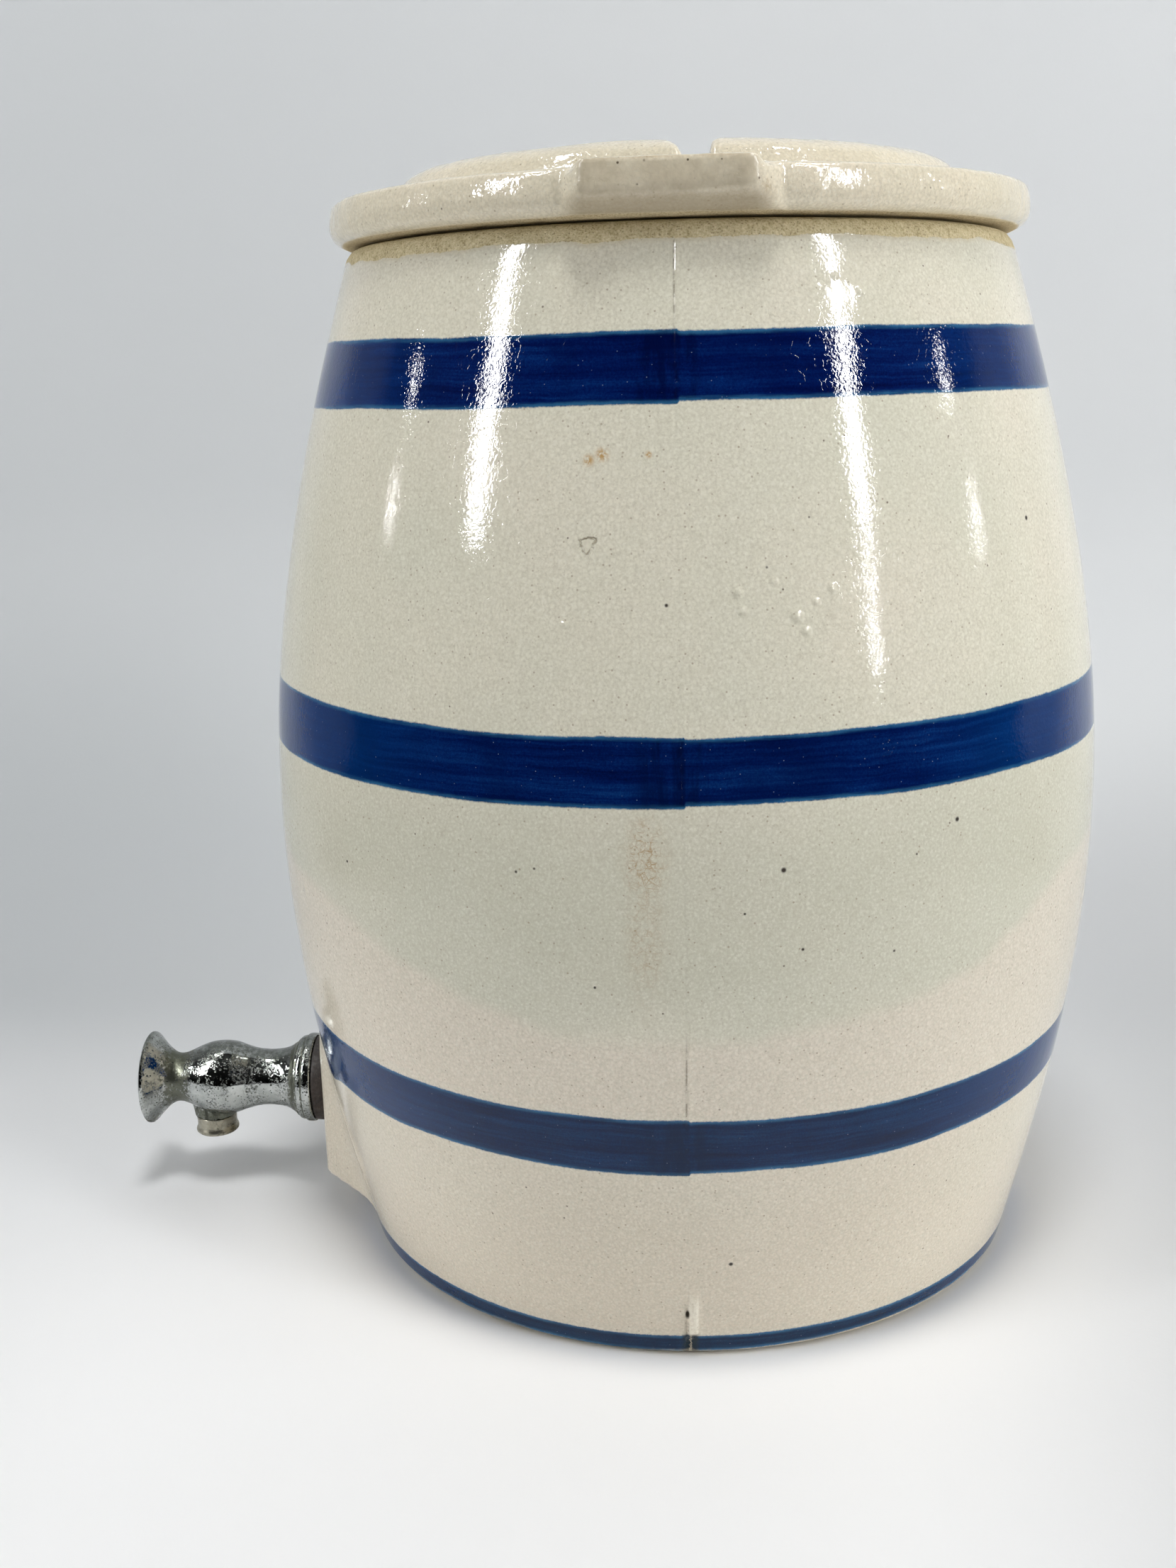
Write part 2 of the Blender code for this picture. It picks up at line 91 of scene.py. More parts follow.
def smooth_step(a, b, x):
    t = np.clip((x - a) / (b - a), 0, 1)
    return t * t * (3 - 2 * t)


def spline(points, step, corners=()):
    """A smooth line through 2-D points, resampled every step mm. It keeps the numbered corners sharp."""
    pts = np.asarray(points, float)
    stops = sorted({0, len(pts) - 1, *corners})
    out = []
    for a, b in zip(stops, stops[1:]):
        part = pts[a:b + 1]
        padded = np.vstack([2 * part[0] - part[1], part, 2 * part[-1] - part[-2]])
        for k in range(len(part) - 1):
            p0, p1, p2, p3 = padded[k:k + 4]
            t0 = 0.0
            t1 = t0 + max(np.linalg.norm(p1 - p0), 1e-6) ** 0.5
            t2 = t1 + max(np.linalg.norm(p2 - p1), 1e-6) ** 0.5
            t3 = t2 + max(np.linalg.norm(p3 - p2), 1e-6) ** 0.5
            n = max(1, int(round(np.linalg.norm(p2 - p1) / step)))
            for t in np.linspace(t1, t2, n, endpoint=False):
                a1 = (t1 - t) / (t1 - t0) * p0 + (t - t0) / (t1 - t0) * p1
                a2 = (t2 - t) / (t2 - t1) * p1 + (t - t1) / (t2 - t1) * p2
                a3 = (t3 - t) / (t3 - t2) * p2 + (t - t2) / (t3 - t2) * p3
                b1 = (t2 - t) / (t2 - t0) * a1 + (t - t0) / (t2 - t0) * a2
                b2 = (t3 - t) / (t3 - t1) * a2 + (t - t1) / (t3 - t1) * a3
                out.append((t2 - t) / (t2 - t1) * b1 + (t - t1) / (t2 - t1) * b2)
    out.append(pts[-1])
    return np.array(out)


# ================================================================ mesh makers
def build(name, verts, faces, attributes=None, smooth=True):
    """A mesh object from millimetre points, with float attributes on its points."""
    mesh = bpy.data.meshes.new(name)
    mesh.from_pydata((np.asarray(verts) * MM).tolist(), [], [tuple(int(i) for i in f) for f in faces])
    for key, values in (attributes or {}).items():
        layer = mesh.attributes.new(key, "FLOAT", "POINT")
        layer.data.foreach_set("value", np.asarray(values, np.float32))
    mesh.update()
    if smooth:
        mesh.shade_smooth()
    ob = bpy.data.objects.new(name, mesh)
    bpy.context.scene.collection.objects.link(ob)
    return ob


def turn_faces(rows, cols, first_pole=False, last_pole=False, closed=False):
    """Quads over a grid of rows by cols points that closes round its columns, and fans at the poles.

    The poles' points come after the grid's. closed joins the last row to the first.
    """
    i = np.arange(rows - 1)[:, None] * cols
    j = np.arange(cols)[None, :]
    k = (j + 1) % cols
    quads = np.stack([i + j, i + k, i + cols + k, i + cols + j], -1).reshape(-1, 4).tolist()
    last = (rows - 1) * cols
    if closed:
        quads += np.stack([last + j, last + k, k + 0 * j, j + 0 * k], -1).reshape(-1, 4).tolist()
    pole = rows * cols
    if first_pole:
        quads += [(pole, int((a + 1) % cols), a) for a in range(cols)]
        pole += 1
    if last_pole:
        quads += [(pole, last + a, last + int((a + 1) % cols)) for a in range(cols)]
    return quads


def lathe_y(name, profile, segments, z_axis, closed=True, shape=None, attributes=None):
    """A (radius, y) profile turned about the line along Y at height z_axis.

    shape(radius, angle, y) may move each point's radius. Angle 0 is +X and 90 degrees is +Z.
    """
    profile = np.asarray(profile, float)
    a = np.linspace(0, 2 * np.pi, segments, endpoint=False)
    ends = [profile[0][0] < 1e-6, profile[-1][0] < 1e-6]
    body = profile[1 if ends[0] else 0: len(profile) - (1 if ends[1] else 0)]
    r = np.repeat(body[:, 0][:, None], segments, 1)
    y = np.repeat(body[:, 1][:, None], segments, 1)
    t = np.repeat(a[None, :], len(body), 0)
    if shape:
        r = shape(r, t, y)
    pts = np.stack([r * np.cos(t), y, z_axis + r * np.sin(t)], -1).reshape(-1, 3)
    extra = []
    if ends[0]:
        extra.append((0, profile[0][1], z_axis))
    if ends[1]:
        extra.append((0, profile[-1][1], z_axis))
    if extra:
        pts = np.vstack([pts, extra])
    faces = turn_faces(len(body), segments, ends[0], ends[1], closed and not any(ends))
    return build(name, pts, faces)


def fix_normals(ob):
    """Turns a closed mesh's faces outwards."""
    import bmesh
    bm = bmesh.new()
    bm.from_mesh(ob.data)
    bmesh.ops.recalc_face_normals(bm, faces=bm.faces)
    bm.to_mesh(ob.data)
    bm.free()
    return ob


def carve(ob, *cutters):
    """Takes cutters out of a closed mesh for good."""
    for c in cutters:
        mod = ob.modifiers.new("carve", "BOOLEAN")
        mod.operation = "DIFFERENCE"
        mod.solver = "EXACT"
        mod.object = c
    bpy.context.view_layer.update()
    dg = bpy.context.evaluated_depsgraph_get()
    mesh = bpy.data.meshes.new_from_object(ob.evaluated_get(dg), preserve_all_data_layers=True, depsgraph=dg)
    ob.modifiers.clear()
    old, ob.data = ob.data, mesh
    mesh.name = ob.name
    bpy.data.meshes.remove(old)
    for c in cutters:
        m = c.data
        bpy.data.objects.remove(c, do_unlink=True)
        bpy.data.meshes.remove(m)
    return ob


def rod_y(radius, y0, y1, z, segments=64):
    return fix_normals(lathe_y("cutter", [(0, y0), (radius, y0), (radius, y1), (0, y1)], segments, z))


def rod_z(radius, z0, z1, x, y, segments=64):
    a = np.linspace(0, 2 * np.pi, segments, endpoint=False)
    ring = np.stack([x + radius * np.cos(a), y + radius * np.sin(a)], -1)
    pts = np.vstack([np.c_[ring, np.full(segments, z0)], np.c_[ring, np.full(segments, z1)]])
    faces = [(i, (i + 1) % segments, segments + (i + 1) % segments, segments + i) for i in range(segments)]
    faces += [tuple(range(segments))[::-1], tuple(range(segments, 2 * segments))]
    return fix_normals(build("cutter", pts, faces))


# ============================================================= node shorthand
class Paint:
    """Short names for the shader nodes of one material."""

    def __init__(self, name):
        self.material = bpy.data.materials.new(name)
        self.material.use_nodes = True
        self.tree = self.material.node_tree
        self.tree.nodes.clear()
        self.out = self.tree.nodes.new("ShaderNodeOutputMaterial")
        self.bsdf = self.tree.nodes.new("ShaderNodeBsdfPrincipled")
        self.tree.links.new(self.bsdf.outputs[0], self.out.inputs["Surface"])
        coords = self.tree.nodes.new("ShaderNodeTexCoord")
        self.mm = self.vec("SCALE", coords.outputs["Object"], scale=1000.0)
        xyz = self.tree.nodes.new("ShaderNodeSeparateXYZ")
        self.tree.links.new(self.mm, xyz.inputs[0])
        self.x, self.y, self.z = xyz.outputs

    def put(self, socket, value):
        if isinstance(value, bpy.types.NodeSocket):
            self.tree.links.new(value, socket)
        elif hasattr(value, "__len__") and socket.type == "RGBA":
            socket.default_value = (*value[:3], 1.0)
        else:
            socket.default_value = value

    def set(self, **inputs):
        for key, value in inputs.items():
            self.put(self.bsdf.inputs[key.replace("_", " ")], value)

    def math(self, op, a, b=0.0, c=0.0, clamp=False):
        n = self.tree.nodes.new("ShaderNodeMath")
        n.operation, n.use_clamp = op, clamp
        for s, v in zip(n.inputs, (a, b, c)):
            self.put(s, v)
        return n.outputs[0]

    def vec(self, op, a, b=(0, 0, 0), scale=1.0):
        n = self.tree.nodes.new("ShaderNodeVectorMath")
        n.operation = op
        self.put(n.inputs[0], a)
        if op == "SCALE":
            self.put(n.inputs["Scale"], scale)
        else:
            self.put(n.inputs[1], b)
        return n.outputs["Value" if op in ("DISTANCE", "LENGTH", "DOT_PRODUCT") else "Vector"]

    def stretch(self, sx, sy, sz, source=None):
        return self.vec("MULTIPLY", source or self.mm, (sx, sy, sz))

    def combine(self, x, y, z):
        n = self.tree.nodes.new("ShaderNodeCombineXYZ")
        for s, v in zip(n.inputs, (x, y, z)):
            self.put(s, v)
        return n.outputs[0]

    def noise(self, size, detail=2.0, rough=0.5, warp=0.0, source=None, colour=False):
        """Noise whose lumps are about size units of source across."""
        n = self.tree.nodes.new("ShaderNodeTexNoise")
        self.put(n.inputs["Vector"], source or self.mm)
        self.put(n.inputs["Scale"], 1.0 / size)
        self.put(n.inputs["Detail"], detail)
        self.put(n.inputs["Roughness"], rough)
        self.put(n.inputs["Distortion"], warp)
        return n.outputs["Color" if colour else 0]

    def cells(self, size, feature="F1", source=None, randomness=1.0):
        n = self.tree.nodes.new("ShaderNodeTexVoronoi")
        n.feature = feature
        self.put(n.inputs["Vector"], source or self.mm)
        self.put(n.inputs["Scale"], 1.0 / size)
        self.put(n.inputs["Randomness"], randomness)
        return n.outputs

    def fit(self, value, a, b, c=0.0, d=1.0, smooth=True):
        n = self.tree.nodes.new("ShaderNodeMapRange")
        n.interpolation_type = "SMOOTHSTEP" if smooth else "LINEAR"
        for key, v in (("Value", value), ("From Min", a), ("From Max", b), ("To Min", c), ("To Max", d)):
            self.put(n.inputs[key], v)
        return n.outputs[0]

    def ramp(self, value, stops):
        n = self.tree.nodes.new("ShaderNodeValToRGB")
        n.color_ramp.interpolation = "LINEAR"
        els = n.color_ramp.elements
        while len(els) < len(stops):
            els.new(0.5)
        for e, (p, c) in zip(els, stops):
            e.position, e.color = p, (*c, 1.0)
        self.put(n.inputs[0], value)
        return n.outputs[0]

    def mix(self, share, a, b, how="MIX"):
        n = self.tree.nodes.new("ShaderNodeMix")
        n.data_type, n.blend_type = "RGBA", how
        self.put(n.inputs["Factor"], share)
        for s, v in ((n.inputs[6], a), (n.inputs[7], b)):
            self.put(s, v)
        return n.outputs[2]

    def mixf(self, share, a, b):
        n = self.tree.nodes.new("ShaderNodeMix")
        n.data_type = "FLOAT"
        for s, v in ((n.inputs[0], share), (n.inputs[2], a), (n.inputs[3], b)):
            self.put(s, v)
        return n.outputs[0]

    def attribute(self, name):
        n = self.tree.nodes.new("ShaderNodeAttribute")
        n.attribute_name = name
        return n.outputs["Fac"]

    def bump(self, height_mm, strength=1.0, normal=None):
        """A bump from a height in millimetres."""
        n = self.tree.nodes.new("ShaderNodeBump")
        self.put(n.inputs["Height"], height_mm)
        n.inputs["Strength"].default_value = strength
        n.inputs["Distance"].default_value = MM
        if normal:
            self.put(n.inputs["Normal"], normal)
        self.put(self.bsdf.inputs["Normal"], n.outputs[0])
        return n.outputs[0]

    def near(self, x, y, z, inner, outer):
        """1 within inner mm of a place, falling to 0 at outer mm."""
        return self.fit(self.vec("DISTANCE", self.mm, (x, y, z)), inner, outer, 1.0, 0.0)


# ======================================================================= crock
BELLY_R, BELLY_Z = 133.0, 146.5


def barrel(z):
    t = (z - BELLY_Z) / BELLY_R
    return BELLY_R * (1 - 0.16854 * t**2 - 0.00519 * t**3 + 0.01942 * t**4)


TAP_Z = 38.4
SPRING_FRONT, SPRING_BACK = -184.6, -179.0  # middle of the wire at either end
BANDS = ((290.7, 272.7, 0.0), (190.7, 172.3, 0.1), (83.0, 65.9, 0.7), (7.2, 1.5, 1.0))


def pad_radius(theta, z):
    """The moulded pad on the front, as a radius, smaller than the barrel's where there is none."""
    c, s = -np.sin(theta), np.abs(np.cos(theta))
    side = 102.0 / np.cos(np.minimum(np.arctan2(s, c) - 0.7972, 0))
    c = np.maximum(c, 0.2)
    face = 125.4 / c
    roof = (141.1 - 0.4138 * z) / (0.9104 * c)
    under = (125.4 + (z - 12.0) * 11.0) / c
    r = smooth_min(smooth_min(face, side, 2.5), roof, 5.0)
    return smooth_min(r, under, 2.5)


def seam_strength(z):
    """Where the seam stands up most."""
    return (smooth_step(282, 298, z) + (1 - smooth_step(8, 22, z)) * 1.3
            + smooth_step(78, 84, z) * (1 - smooth_step(100, 112, z)) * 0.9 + 0.18)


def seam_at(z):
    """The mould seam's place along Y on the near side; it wanders a little."""
    return 0.9 + 0.5 * np.sin(z / 61.0) + 0.2 * np.sin(z / 17.0)


# small lumps and dents in the glaze: angle in degrees, height, radius, how proud
MARKS = [
    (6.7, 226.3, 1.9, 0.42), (7.2, 221.6, 1.5, 0.34), (13.6, 219.6, 2.0, 0.46), (18.1, 226.1, 1.7, 0.38),
    (14.6, 215.9, 1.5, 0.34), (11.0, 228.5, 1.4, 0.28), (16.0, 223.0, 1.3, 0.28), (-13.3, 218.8, 1.5, 0.30),
    (26.3, 299.3, 1.6, 0.36), (22.5, 303.0, 1.2, 0.24), (-60.0, 130.0, 2.2, 0.14), (70.0, 120.0, 1.8, 0.15),
    (110.0, 250.0, 2.4, 0.2), (150.0, 90.0, 2.0, 0.16), (200.0, 200.0, 2.6, 0.2), (230.0, 260.0, 1.8, 0.16),
    (165.0, 150.0, 2.0, -0.25), (100.0, 60.0, 1.6, 0.14), (215.0, 110.0, 2.1, 0.16), (-35.0, 160.0, 1.6, 0.12),
    (48.0, 40.0, 1.7, 0.13), (-28.6, 34.6, 0.9, 0.14), (-38.0, 208.0, 1.5, 0.12),
]
# a chip in the glaze, as a slanting dent: angle, height, half length, half width, depth
CHIP = (-10.9, 238.5, 2.6, 1.3, 0.55)


def crock_shape(theta, z):
    """Outer radius of the pot with its pad, seam and hand-finished unevenness."""
    r = barrel(z) - 0.22
    r = np.where(np.sin(theta) < -0.3, smooth_max(r, pad_radius(theta, z), 3.5), r)
    p = np.stack([r * np.cos(theta), r * np.sin(theta), z], -1)
    r = r + 0.10 * value_noise(p, 38, 3) + 0.05 * value_noise(p, 13, 4) + 0.015 * value_noise(p, 5, 5)
    y = r * np.sin(theta)
    for sign, seed in ((1, 0), (-1, 7)):
        on = (np.cos(theta) * sign > 0.5)
        d = y - sign * seam_at(z + 40 * seed)
        strong = seam_strength(z)
        rough = 0.75 + 0.5 * value_noise(np.stack([z * 0 + 5.0 * seed, z * 0, z], -1), 3.0, 11 + seed)
        ridge = 0.24 * np.exp(-(d / 0.5) ** 2) - 0.24 * np.exp(-((d + 1.05) / 0.45) ** 2)
        r = r + on * (strong * rough * ridge + 0.07 * np.exp(-(d / 2.2) ** 2))
        # nick where the seam meets the foot, with a torn flake and a pinhole above it
        r = r - on * 1.1 * np.exp(-((d + 0.1) / 1.4) ** 2) * (1 - smooth_step(4.8, 8.4, z)) * smooth_step(0.4, 2.6, z)
        flake = smooth_step(7.0, 9.5, z) * (1 - smooth_step(19.0, 25.0, z))
        r = r + on * 0.6 * flake * (0.7 + 0.6 * rough) * np.exp(-((d - 0.85) / 1.25) ** 4)
        r = r - on * 0.9 * np.exp(-((d + 1.0) / 0.45) ** 2 - ((z - 15.6) / 1.1) ** 2)
    a, h, long, wide, deep = CHIP
    u, w = (theta - math.radians(a)) * 120.4, z - h
    u, w = u * 0.86 + w * 0.5, w * 0.86 - u * 0.5
    r = r - deep * (1 - smooth_step(0.55, 1.15, np.hypot(u / wide, w / long))) * (0.6 + 0.4 * u / wide)
    for a, h, size, proud in MARKS:
        d = np.arctan2(np.sin(theta - math.radians(a)), np.cos(theta - math.radians(a))) * barrel(h)
        r = r + proud * np.exp(-(d * d + (z - h) ** 2) / (size * size))
    return r


def glaze_line(theta):
    """Height where the glaze stops below the rim."""
    c, s = np.cos(theta), np.sin(theta)
    ring = np.stack([c * 102, s * 102, 0 * c], -1)
    return 313.0 + 0.8 * value_noise(ring, 26, 21) + 0.55 * value_noise(ring, 7, 22) + 0.25 * value_noise(ring, 2.6, 23)


def make_crock():
    deg = [np.arange(0, 360, 1.25), np.arange(238, 302, 0.7),
           np.arange(-1.5, 1.9, 0.18), np.arange(178.2, 181.6, 0.2)]
    deg = np.sort(np.concatenate(deg) % 360)
    keep = [deg[0]]
    for d in deg[1:]:
        if d - keep[-1] > 0.13:
            keep.append(d)
    theta = np.radians(np.array(keep))
    cols = len(theta)

    outer_z = np.concatenate([
        [1.4, 1.75], np.arange(2.2, 9.4, 0.7), np.arange(10.0, 14.1, 0.4), [14.8, 15.7], np.arange(17.0, 86, 1.9), np.arange(87.5, 298, 2.55),
        np.arange(299, 313, 1.3)])
    rows = []  # radius (n, cols), height, kind
    for r in (12, 28, 46, 64, 82, 95, 104, 108.4):
        rows.append((np.full(cols, float(r)), 0.0, 0))
    for z, back in ((0.0, 4.2), (0.38, 2.9), (0.75, 1.6), (1.0, 0.75), (1.18, 0.25)):
        rows.append((crock_shape(theta, np.full(cols, z + 0.001)) - back, z, 1))
    for z in outer_z:
        rows.append((crock_shape(theta, np.full(cols, z)), z, 1))
    rim = spline([(102.6, 313.2), (101.9, 315.3), (100.2, 317.1), (97.6, 317.95), (95.0, 318.05),
                  (92.4, 317.6), (90.3, 316.2), (89.4, 313.8), (89.2, 309.0), (89.2, 304.0)], 1.0)
    ring = np.stack([np.cos(theta) * 98, np.sin(theta) * 98, 0 * theta], -1)
    lift = 0.10 * value_noise(ring, 24, 31)
    for r, z in rim[1:]:
        w = np.stack([np.cos(theta) * r, np.sin(theta) * r, np.full(cols, z)], -1)
        rows.append((r + 0.10 * value_noise(w, 9, 32) + 0.06 * value_noise(w, 2.5, 33) + 0 * theta,
                     z - 0.06 + np.minimum(lift, 0.05) * (z > 315), 2))
    inner = [(89.2, 304.0)] + [(barrel(z) - 11.5, z) for z in (268, 230, 185, 135, 85, 38)]
    low = barrel(20) - 11.5
    inner += [(low - 2.6, 20), (low - 8, 14.8), (low - 15, 13.0), (70, 13.0), (40, 13.0), (14, 13.0)]
    for r, z in spline(inner, 9.0)[1:]:
        rows.append((np.full(cols, r), z, 3))

    pts, blue, tone, bare, seam = [], [], [], [], []
    for r, z, kind in rows:
        z = z + 0 * theta
        pts.append(np.stack([r * np.cos(theta), r * np.sin(theta), z], -1))
        ringp = np.stack([np.cos(theta) * 120, np.sin(theta) * 120, 0 * theta], -1)
        near = np.where(np.cos(theta) > 0, np.sin(theta) * r - seam_at(z), -np.sin(theta) * r - seam_at(z + 280))
        seam.append(np.where(kind in (1, 2), np.clip(near, -30, 30), 30.0))
        if kind == 1:
            half = np.where(near < 0, 1.0, -1.0)  # the two halves of the mould were banded apart
            best, kindof = np.full(cols, -9.0), np.zeros(cols)
            # the third band sags where the brush crossed the pad's crease
            crease = np.exp(-(((np.degrees(theta) + 67.0) / 5.0) ** 2)) + np.exp(-(((np.degrees(theta) - 247.0) / 5.0) ** 2)) \
                + np.exp(-(((np.degrees(theta) - 293.0) / 5.0) ** 2))
            for k, (top, bottom, shade) in enumerate(BANDS):
                wob = 0.55 * value_noise(ringp + 50 * k, 55, 41) + 0.22 * value_noise(ringp + 50 * k, 17, 42)
                wob2 = 0.55 * value_noise(ringp + 50 * k, 48, 43) + 0.25 * value_noise(ringp + 50 * k, 15, 44)
                share = 1.0 if k < 3 else 0.5
                sag = crease * 4.5 if k == 2 else 0.0
                d = np.minimum(top + (wob + half * 0.2) * share - z, z - (bottom - sag + (wob2 - half * 0.38) * share))
                kindof = np.where(d > best, shade, kindof)
                best = np.maximum(best, d)
            blue.append(best)
            tone.append(kindof)
        else:
            blue.append(np.full(cols, -9.0))
            tone.append(np.zeros(cols))
        if kind == 0:
            bare.append(np.full(cols, 6.0))
        elif kind == 1:
            foot = 0.95 + 0.45 * value_noise(ringp, 20, 51) + 0.2 * value_noise(ringp, 6, 52) - z
            bare.append(np.maximum(z - glaze_line(theta), foot))
        elif kind == 2:
            line = glaze_line(theta) if z[0] > 313 or r[0] > 95 else glaze_line(theta + 2)
            bare.append(np.where(r > 92, z - line, z - glaze_line(theta + 2) + 1.0))
        else:
            bare.append(np.full(cols, -6.0))
    grid = np.array(pts)
    bare = np.clip(np.array(bare), -6, 6)
    # glaze stands a little proud of the bare clay
    outward = np.stack([np.cos(theta), np.sin(theta), 0 * theta], -1)[None]
    kinds = np.array([k for _, _, k in rows])[:, None]
    sunk = smooth_step(-0.25, 0.45, bare) * np.where((kinds == 1) | ((kinds == 2) & (grid[:, :, 2] < 316.5)), 0.28, 0)
    sign = np.where((kinds == 2) & (np.hypot(grid[:, :, 0], grid[:, :, 1]) < 93), -1, 1)
    grid = grid - outward * (sunk * sign)[:, :, None]
    n_rows = len(rows)
    flat = grid.reshape(-1, 3)
    poles = np.array([(0, 0, 0.0), (0, 0, 13.0)])
    verts = np.vstack([flat, poles])
    faces = turn_faces(n_rows, cols, first_pole=True, last_pole=True)
    add2 = lambda a, b, c: np.concatenate([np.array(a).ravel(), [b, c]])
    ob = build("stoneware_pot", verts, faces, {
        "blue": add2(np.clip(np.array(blue), -9, 10), -9, -9),
        "tone": add2(tone, 0, 0),
        "bare": add2(bare, 6, -6),
        "seam": add2(seam, 30, 30),
    })
    fix_normals(ob)
    carve(ob, rod_y(19.5, -113.5, -86, TAP_Z, 72), rod_y(9.8, -140, -104, TAP_Z, 64))
    ob.data.shade_smooth()
    ob.data.set_sharp_from_angle(angle=math.radians(42))
    return ob


# ========================================================================= lid
def polygon_field(points, lo, hi, step):
    """Signed distances to a closed outline, on a grid, for reading with bilinear steps."""
    pts = np.asarray(points, float)
    a = np.arange(lo[0], hi[0] + step, step)
    b = np.arange(lo[1], hi[1] + step, step)
    q = np.stack(np.meshgrid(a, b, indexing="ij"), -1).reshape(-1, 2)
    best = np.full(len(q), 1e9)
    inside = np.zeros(len(q), bool)
    for p0, p1 in zip(pts, np.roll(pts, -1, 0)):
        e, w = p1 - p0, q - p0
        t = np.clip((w @ e) / max(e @ e, 1e-12), 0, 1)
        best = np.minimum(best, ((w - t[:, None] * e) ** 2).sum(1))
        crosses = (p0[1] > q[:, 1]) != (p1[1] > q[:, 1])
        with np.errstate(divide="ignore", invalid="ignore"):
            at = p0[0] + (q[:, 1] - p0[1]) * e[0] / (e[1] if e[1] != 0 else 1e-12)
        inside ^= crosses & (q[:, 0] < at)
    d = np.sqrt(best) * np.where(inside, -1, 1)
    return d.reshape(len(a), len(b)), lo, step


def read_field(field, u, v):
    table, lo, step = field
    a = np.clip((u - lo[0]) / step, 0, table.shape[0] - 1.001)
    b = np.clip((v - lo[1]) / step, 0, table.shape[1] - 1.001)
    i, j = a.astype(int), b.astype(int)
    f, g = a - i, b - j
    return ((table[i, j] * (1 - f) + table[i + 1, j] * f) * (1 - g)
            + (table[i, j + 1] * (1 - f) + table[i + 1, j + 1] * f) * g)


def skin(field, lo, hi, h):
    """Surface nets over a signed distance function, with each point then moved onto the true surface."""
    ax = [np.arange(a, b + h, h) for a, b in zip(lo, hi)]
    shape = tuple(len(a) for a in ax)
    values = np.empty(shape)
    for k in range(shape[2]):
        g = np.stack(np.meshgrid(ax[0], ax[1], [ax[2][k]], indexing="ij"), -1)[:, :, 0]
        values[:, :, k] = field(g)
    neg = values < 0
    cs = tuple(n - 1 for n in shape)
    count = np.zeros(cs)
    total = np.zeros(cs + (3,))
    for axis in range(3):
        for da in (0, 1):
            for db in (0, 1):
                others = [d for d in range(3) if d != axis]
                s0, s1 = [None] * 3, [None] * 3
                s0[axis], s1[axis] = slice(0, -1), slice(1, None)
                for o, d in zip(others, (da, db)):
                    cut = slice(d, shape[o] - 1 + d)
                    s0[o] = s1[o] = cut
                v0, v1 = values[tuple(s0)], values[tuple(s1)]
                cross = (v0 < 0) != (v1 < 0)
                t = np.where(cross, v0 / np.where(cross, v0 - v1, 1), 0)
                count += cross
                total[..., axis] += np.where(cross, t, 0)
                for o, d in zip(others, (da, db)):
                    total[..., o] += np.where(cross, d, 0)
    used = count > 0
    index = np.full(cs, -1, int)
    index[used] = np.arange(used.sum())
    cell = np.argwhere(used)
    pts = np.array(lo) + (cell + total[used] / count[used][:, None]) * h
    for _ in range(4):
        f = field(pts)
        g = np.stack([(field(pts + d) - field(pts - d)) / 0.1 for d in np.eye(3) * 0.05], -1)
        move = (f / np.maximum((g * g).sum(-1), 0.05))[:, None] * g
        pts = pts - np.clip(move, -0.4 * h, 0.4 * h)
    faces = []
    for axis in range(3):
        b, c = (axis + 1) % 3, (axis + 2) % 3
        sl0, sl1 = [slice(1, n - 1) for n in shape], [slice(1, n - 1) for n in shape]
        sl0[axis], sl1[axis] = slice(0, shape[axis] - 1), slice(1, shape[axis])
        n0, n1 = neg[tuple(sl0)], neg[tuple(sl1)]
        at = np.argwhere(n0 != n1)
        flip = n0[tuple(at.T)]
        at[:, b] += 1
        at[:, c] += 1
        corner = []
        for db, dc in ((-1, -1), (0, -1), (0, 0), (-1, 0)):
            q = at.copy()
            q[:, b] += db
            q[:, c] += dc
            corner.append(index[tuple(q.T)])
        quad = np.stack(corner, -1)
        quad = np.where(flip[:, None], quad, quad[:, ::-1])
        faces.append(quad[(quad >= 0).all(1)])
    return pts, np.vstack(faces)


def bend_of(pts, faces, rounds=2):
    """How much the surface bulges (+) or is hollow (-) at each point, from its neighbours."""
    pairs = np.vstack([faces[:, [0, 1]], faces[:, [1, 2]], faces[:, [2, 3]], faces[:, [3, 0]]])
    a, b = pairs[:, 0], pairs[:, 1]
    total, count = np.zeros_like(pts), np.zeros(len(pts))
    for s, t in ((a, b), (b, a)):
        for k in range(3):
            total[:, k] += np.bincount(s, pts[t, k], len(pts))
        count += np.bincount(s, minlength=len(pts))
    e1, e2 = pts[faces[:, 2]] - pts[faces[:, 0]], pts[faces[:, 3]] - pts[faces[:, 1]]
    fn = np.cross(e1, e2)
    normal = np.zeros_like(pts)
    for c in range(4):
        for k in range(3):
            normal[:, k] += np.bincount(faces[:, c], fn[:, k], len(pts))
    normal /= np.maximum(np.linalg.norm(normal, axis=1), 1e-9)[:, None]
    bulge = -(((total / np.maximum(count, 1)[:, None]) - pts) * normal).sum(1)
    for _ in range(rounds):
        s = np.bincount(a, bulge[b], len(pts)) + np.bincount(b, bulge[a], len(pts))
        bulge = 0.5 * bulge + 0.5 * s / np.maximum(count, 1)
    return bulge


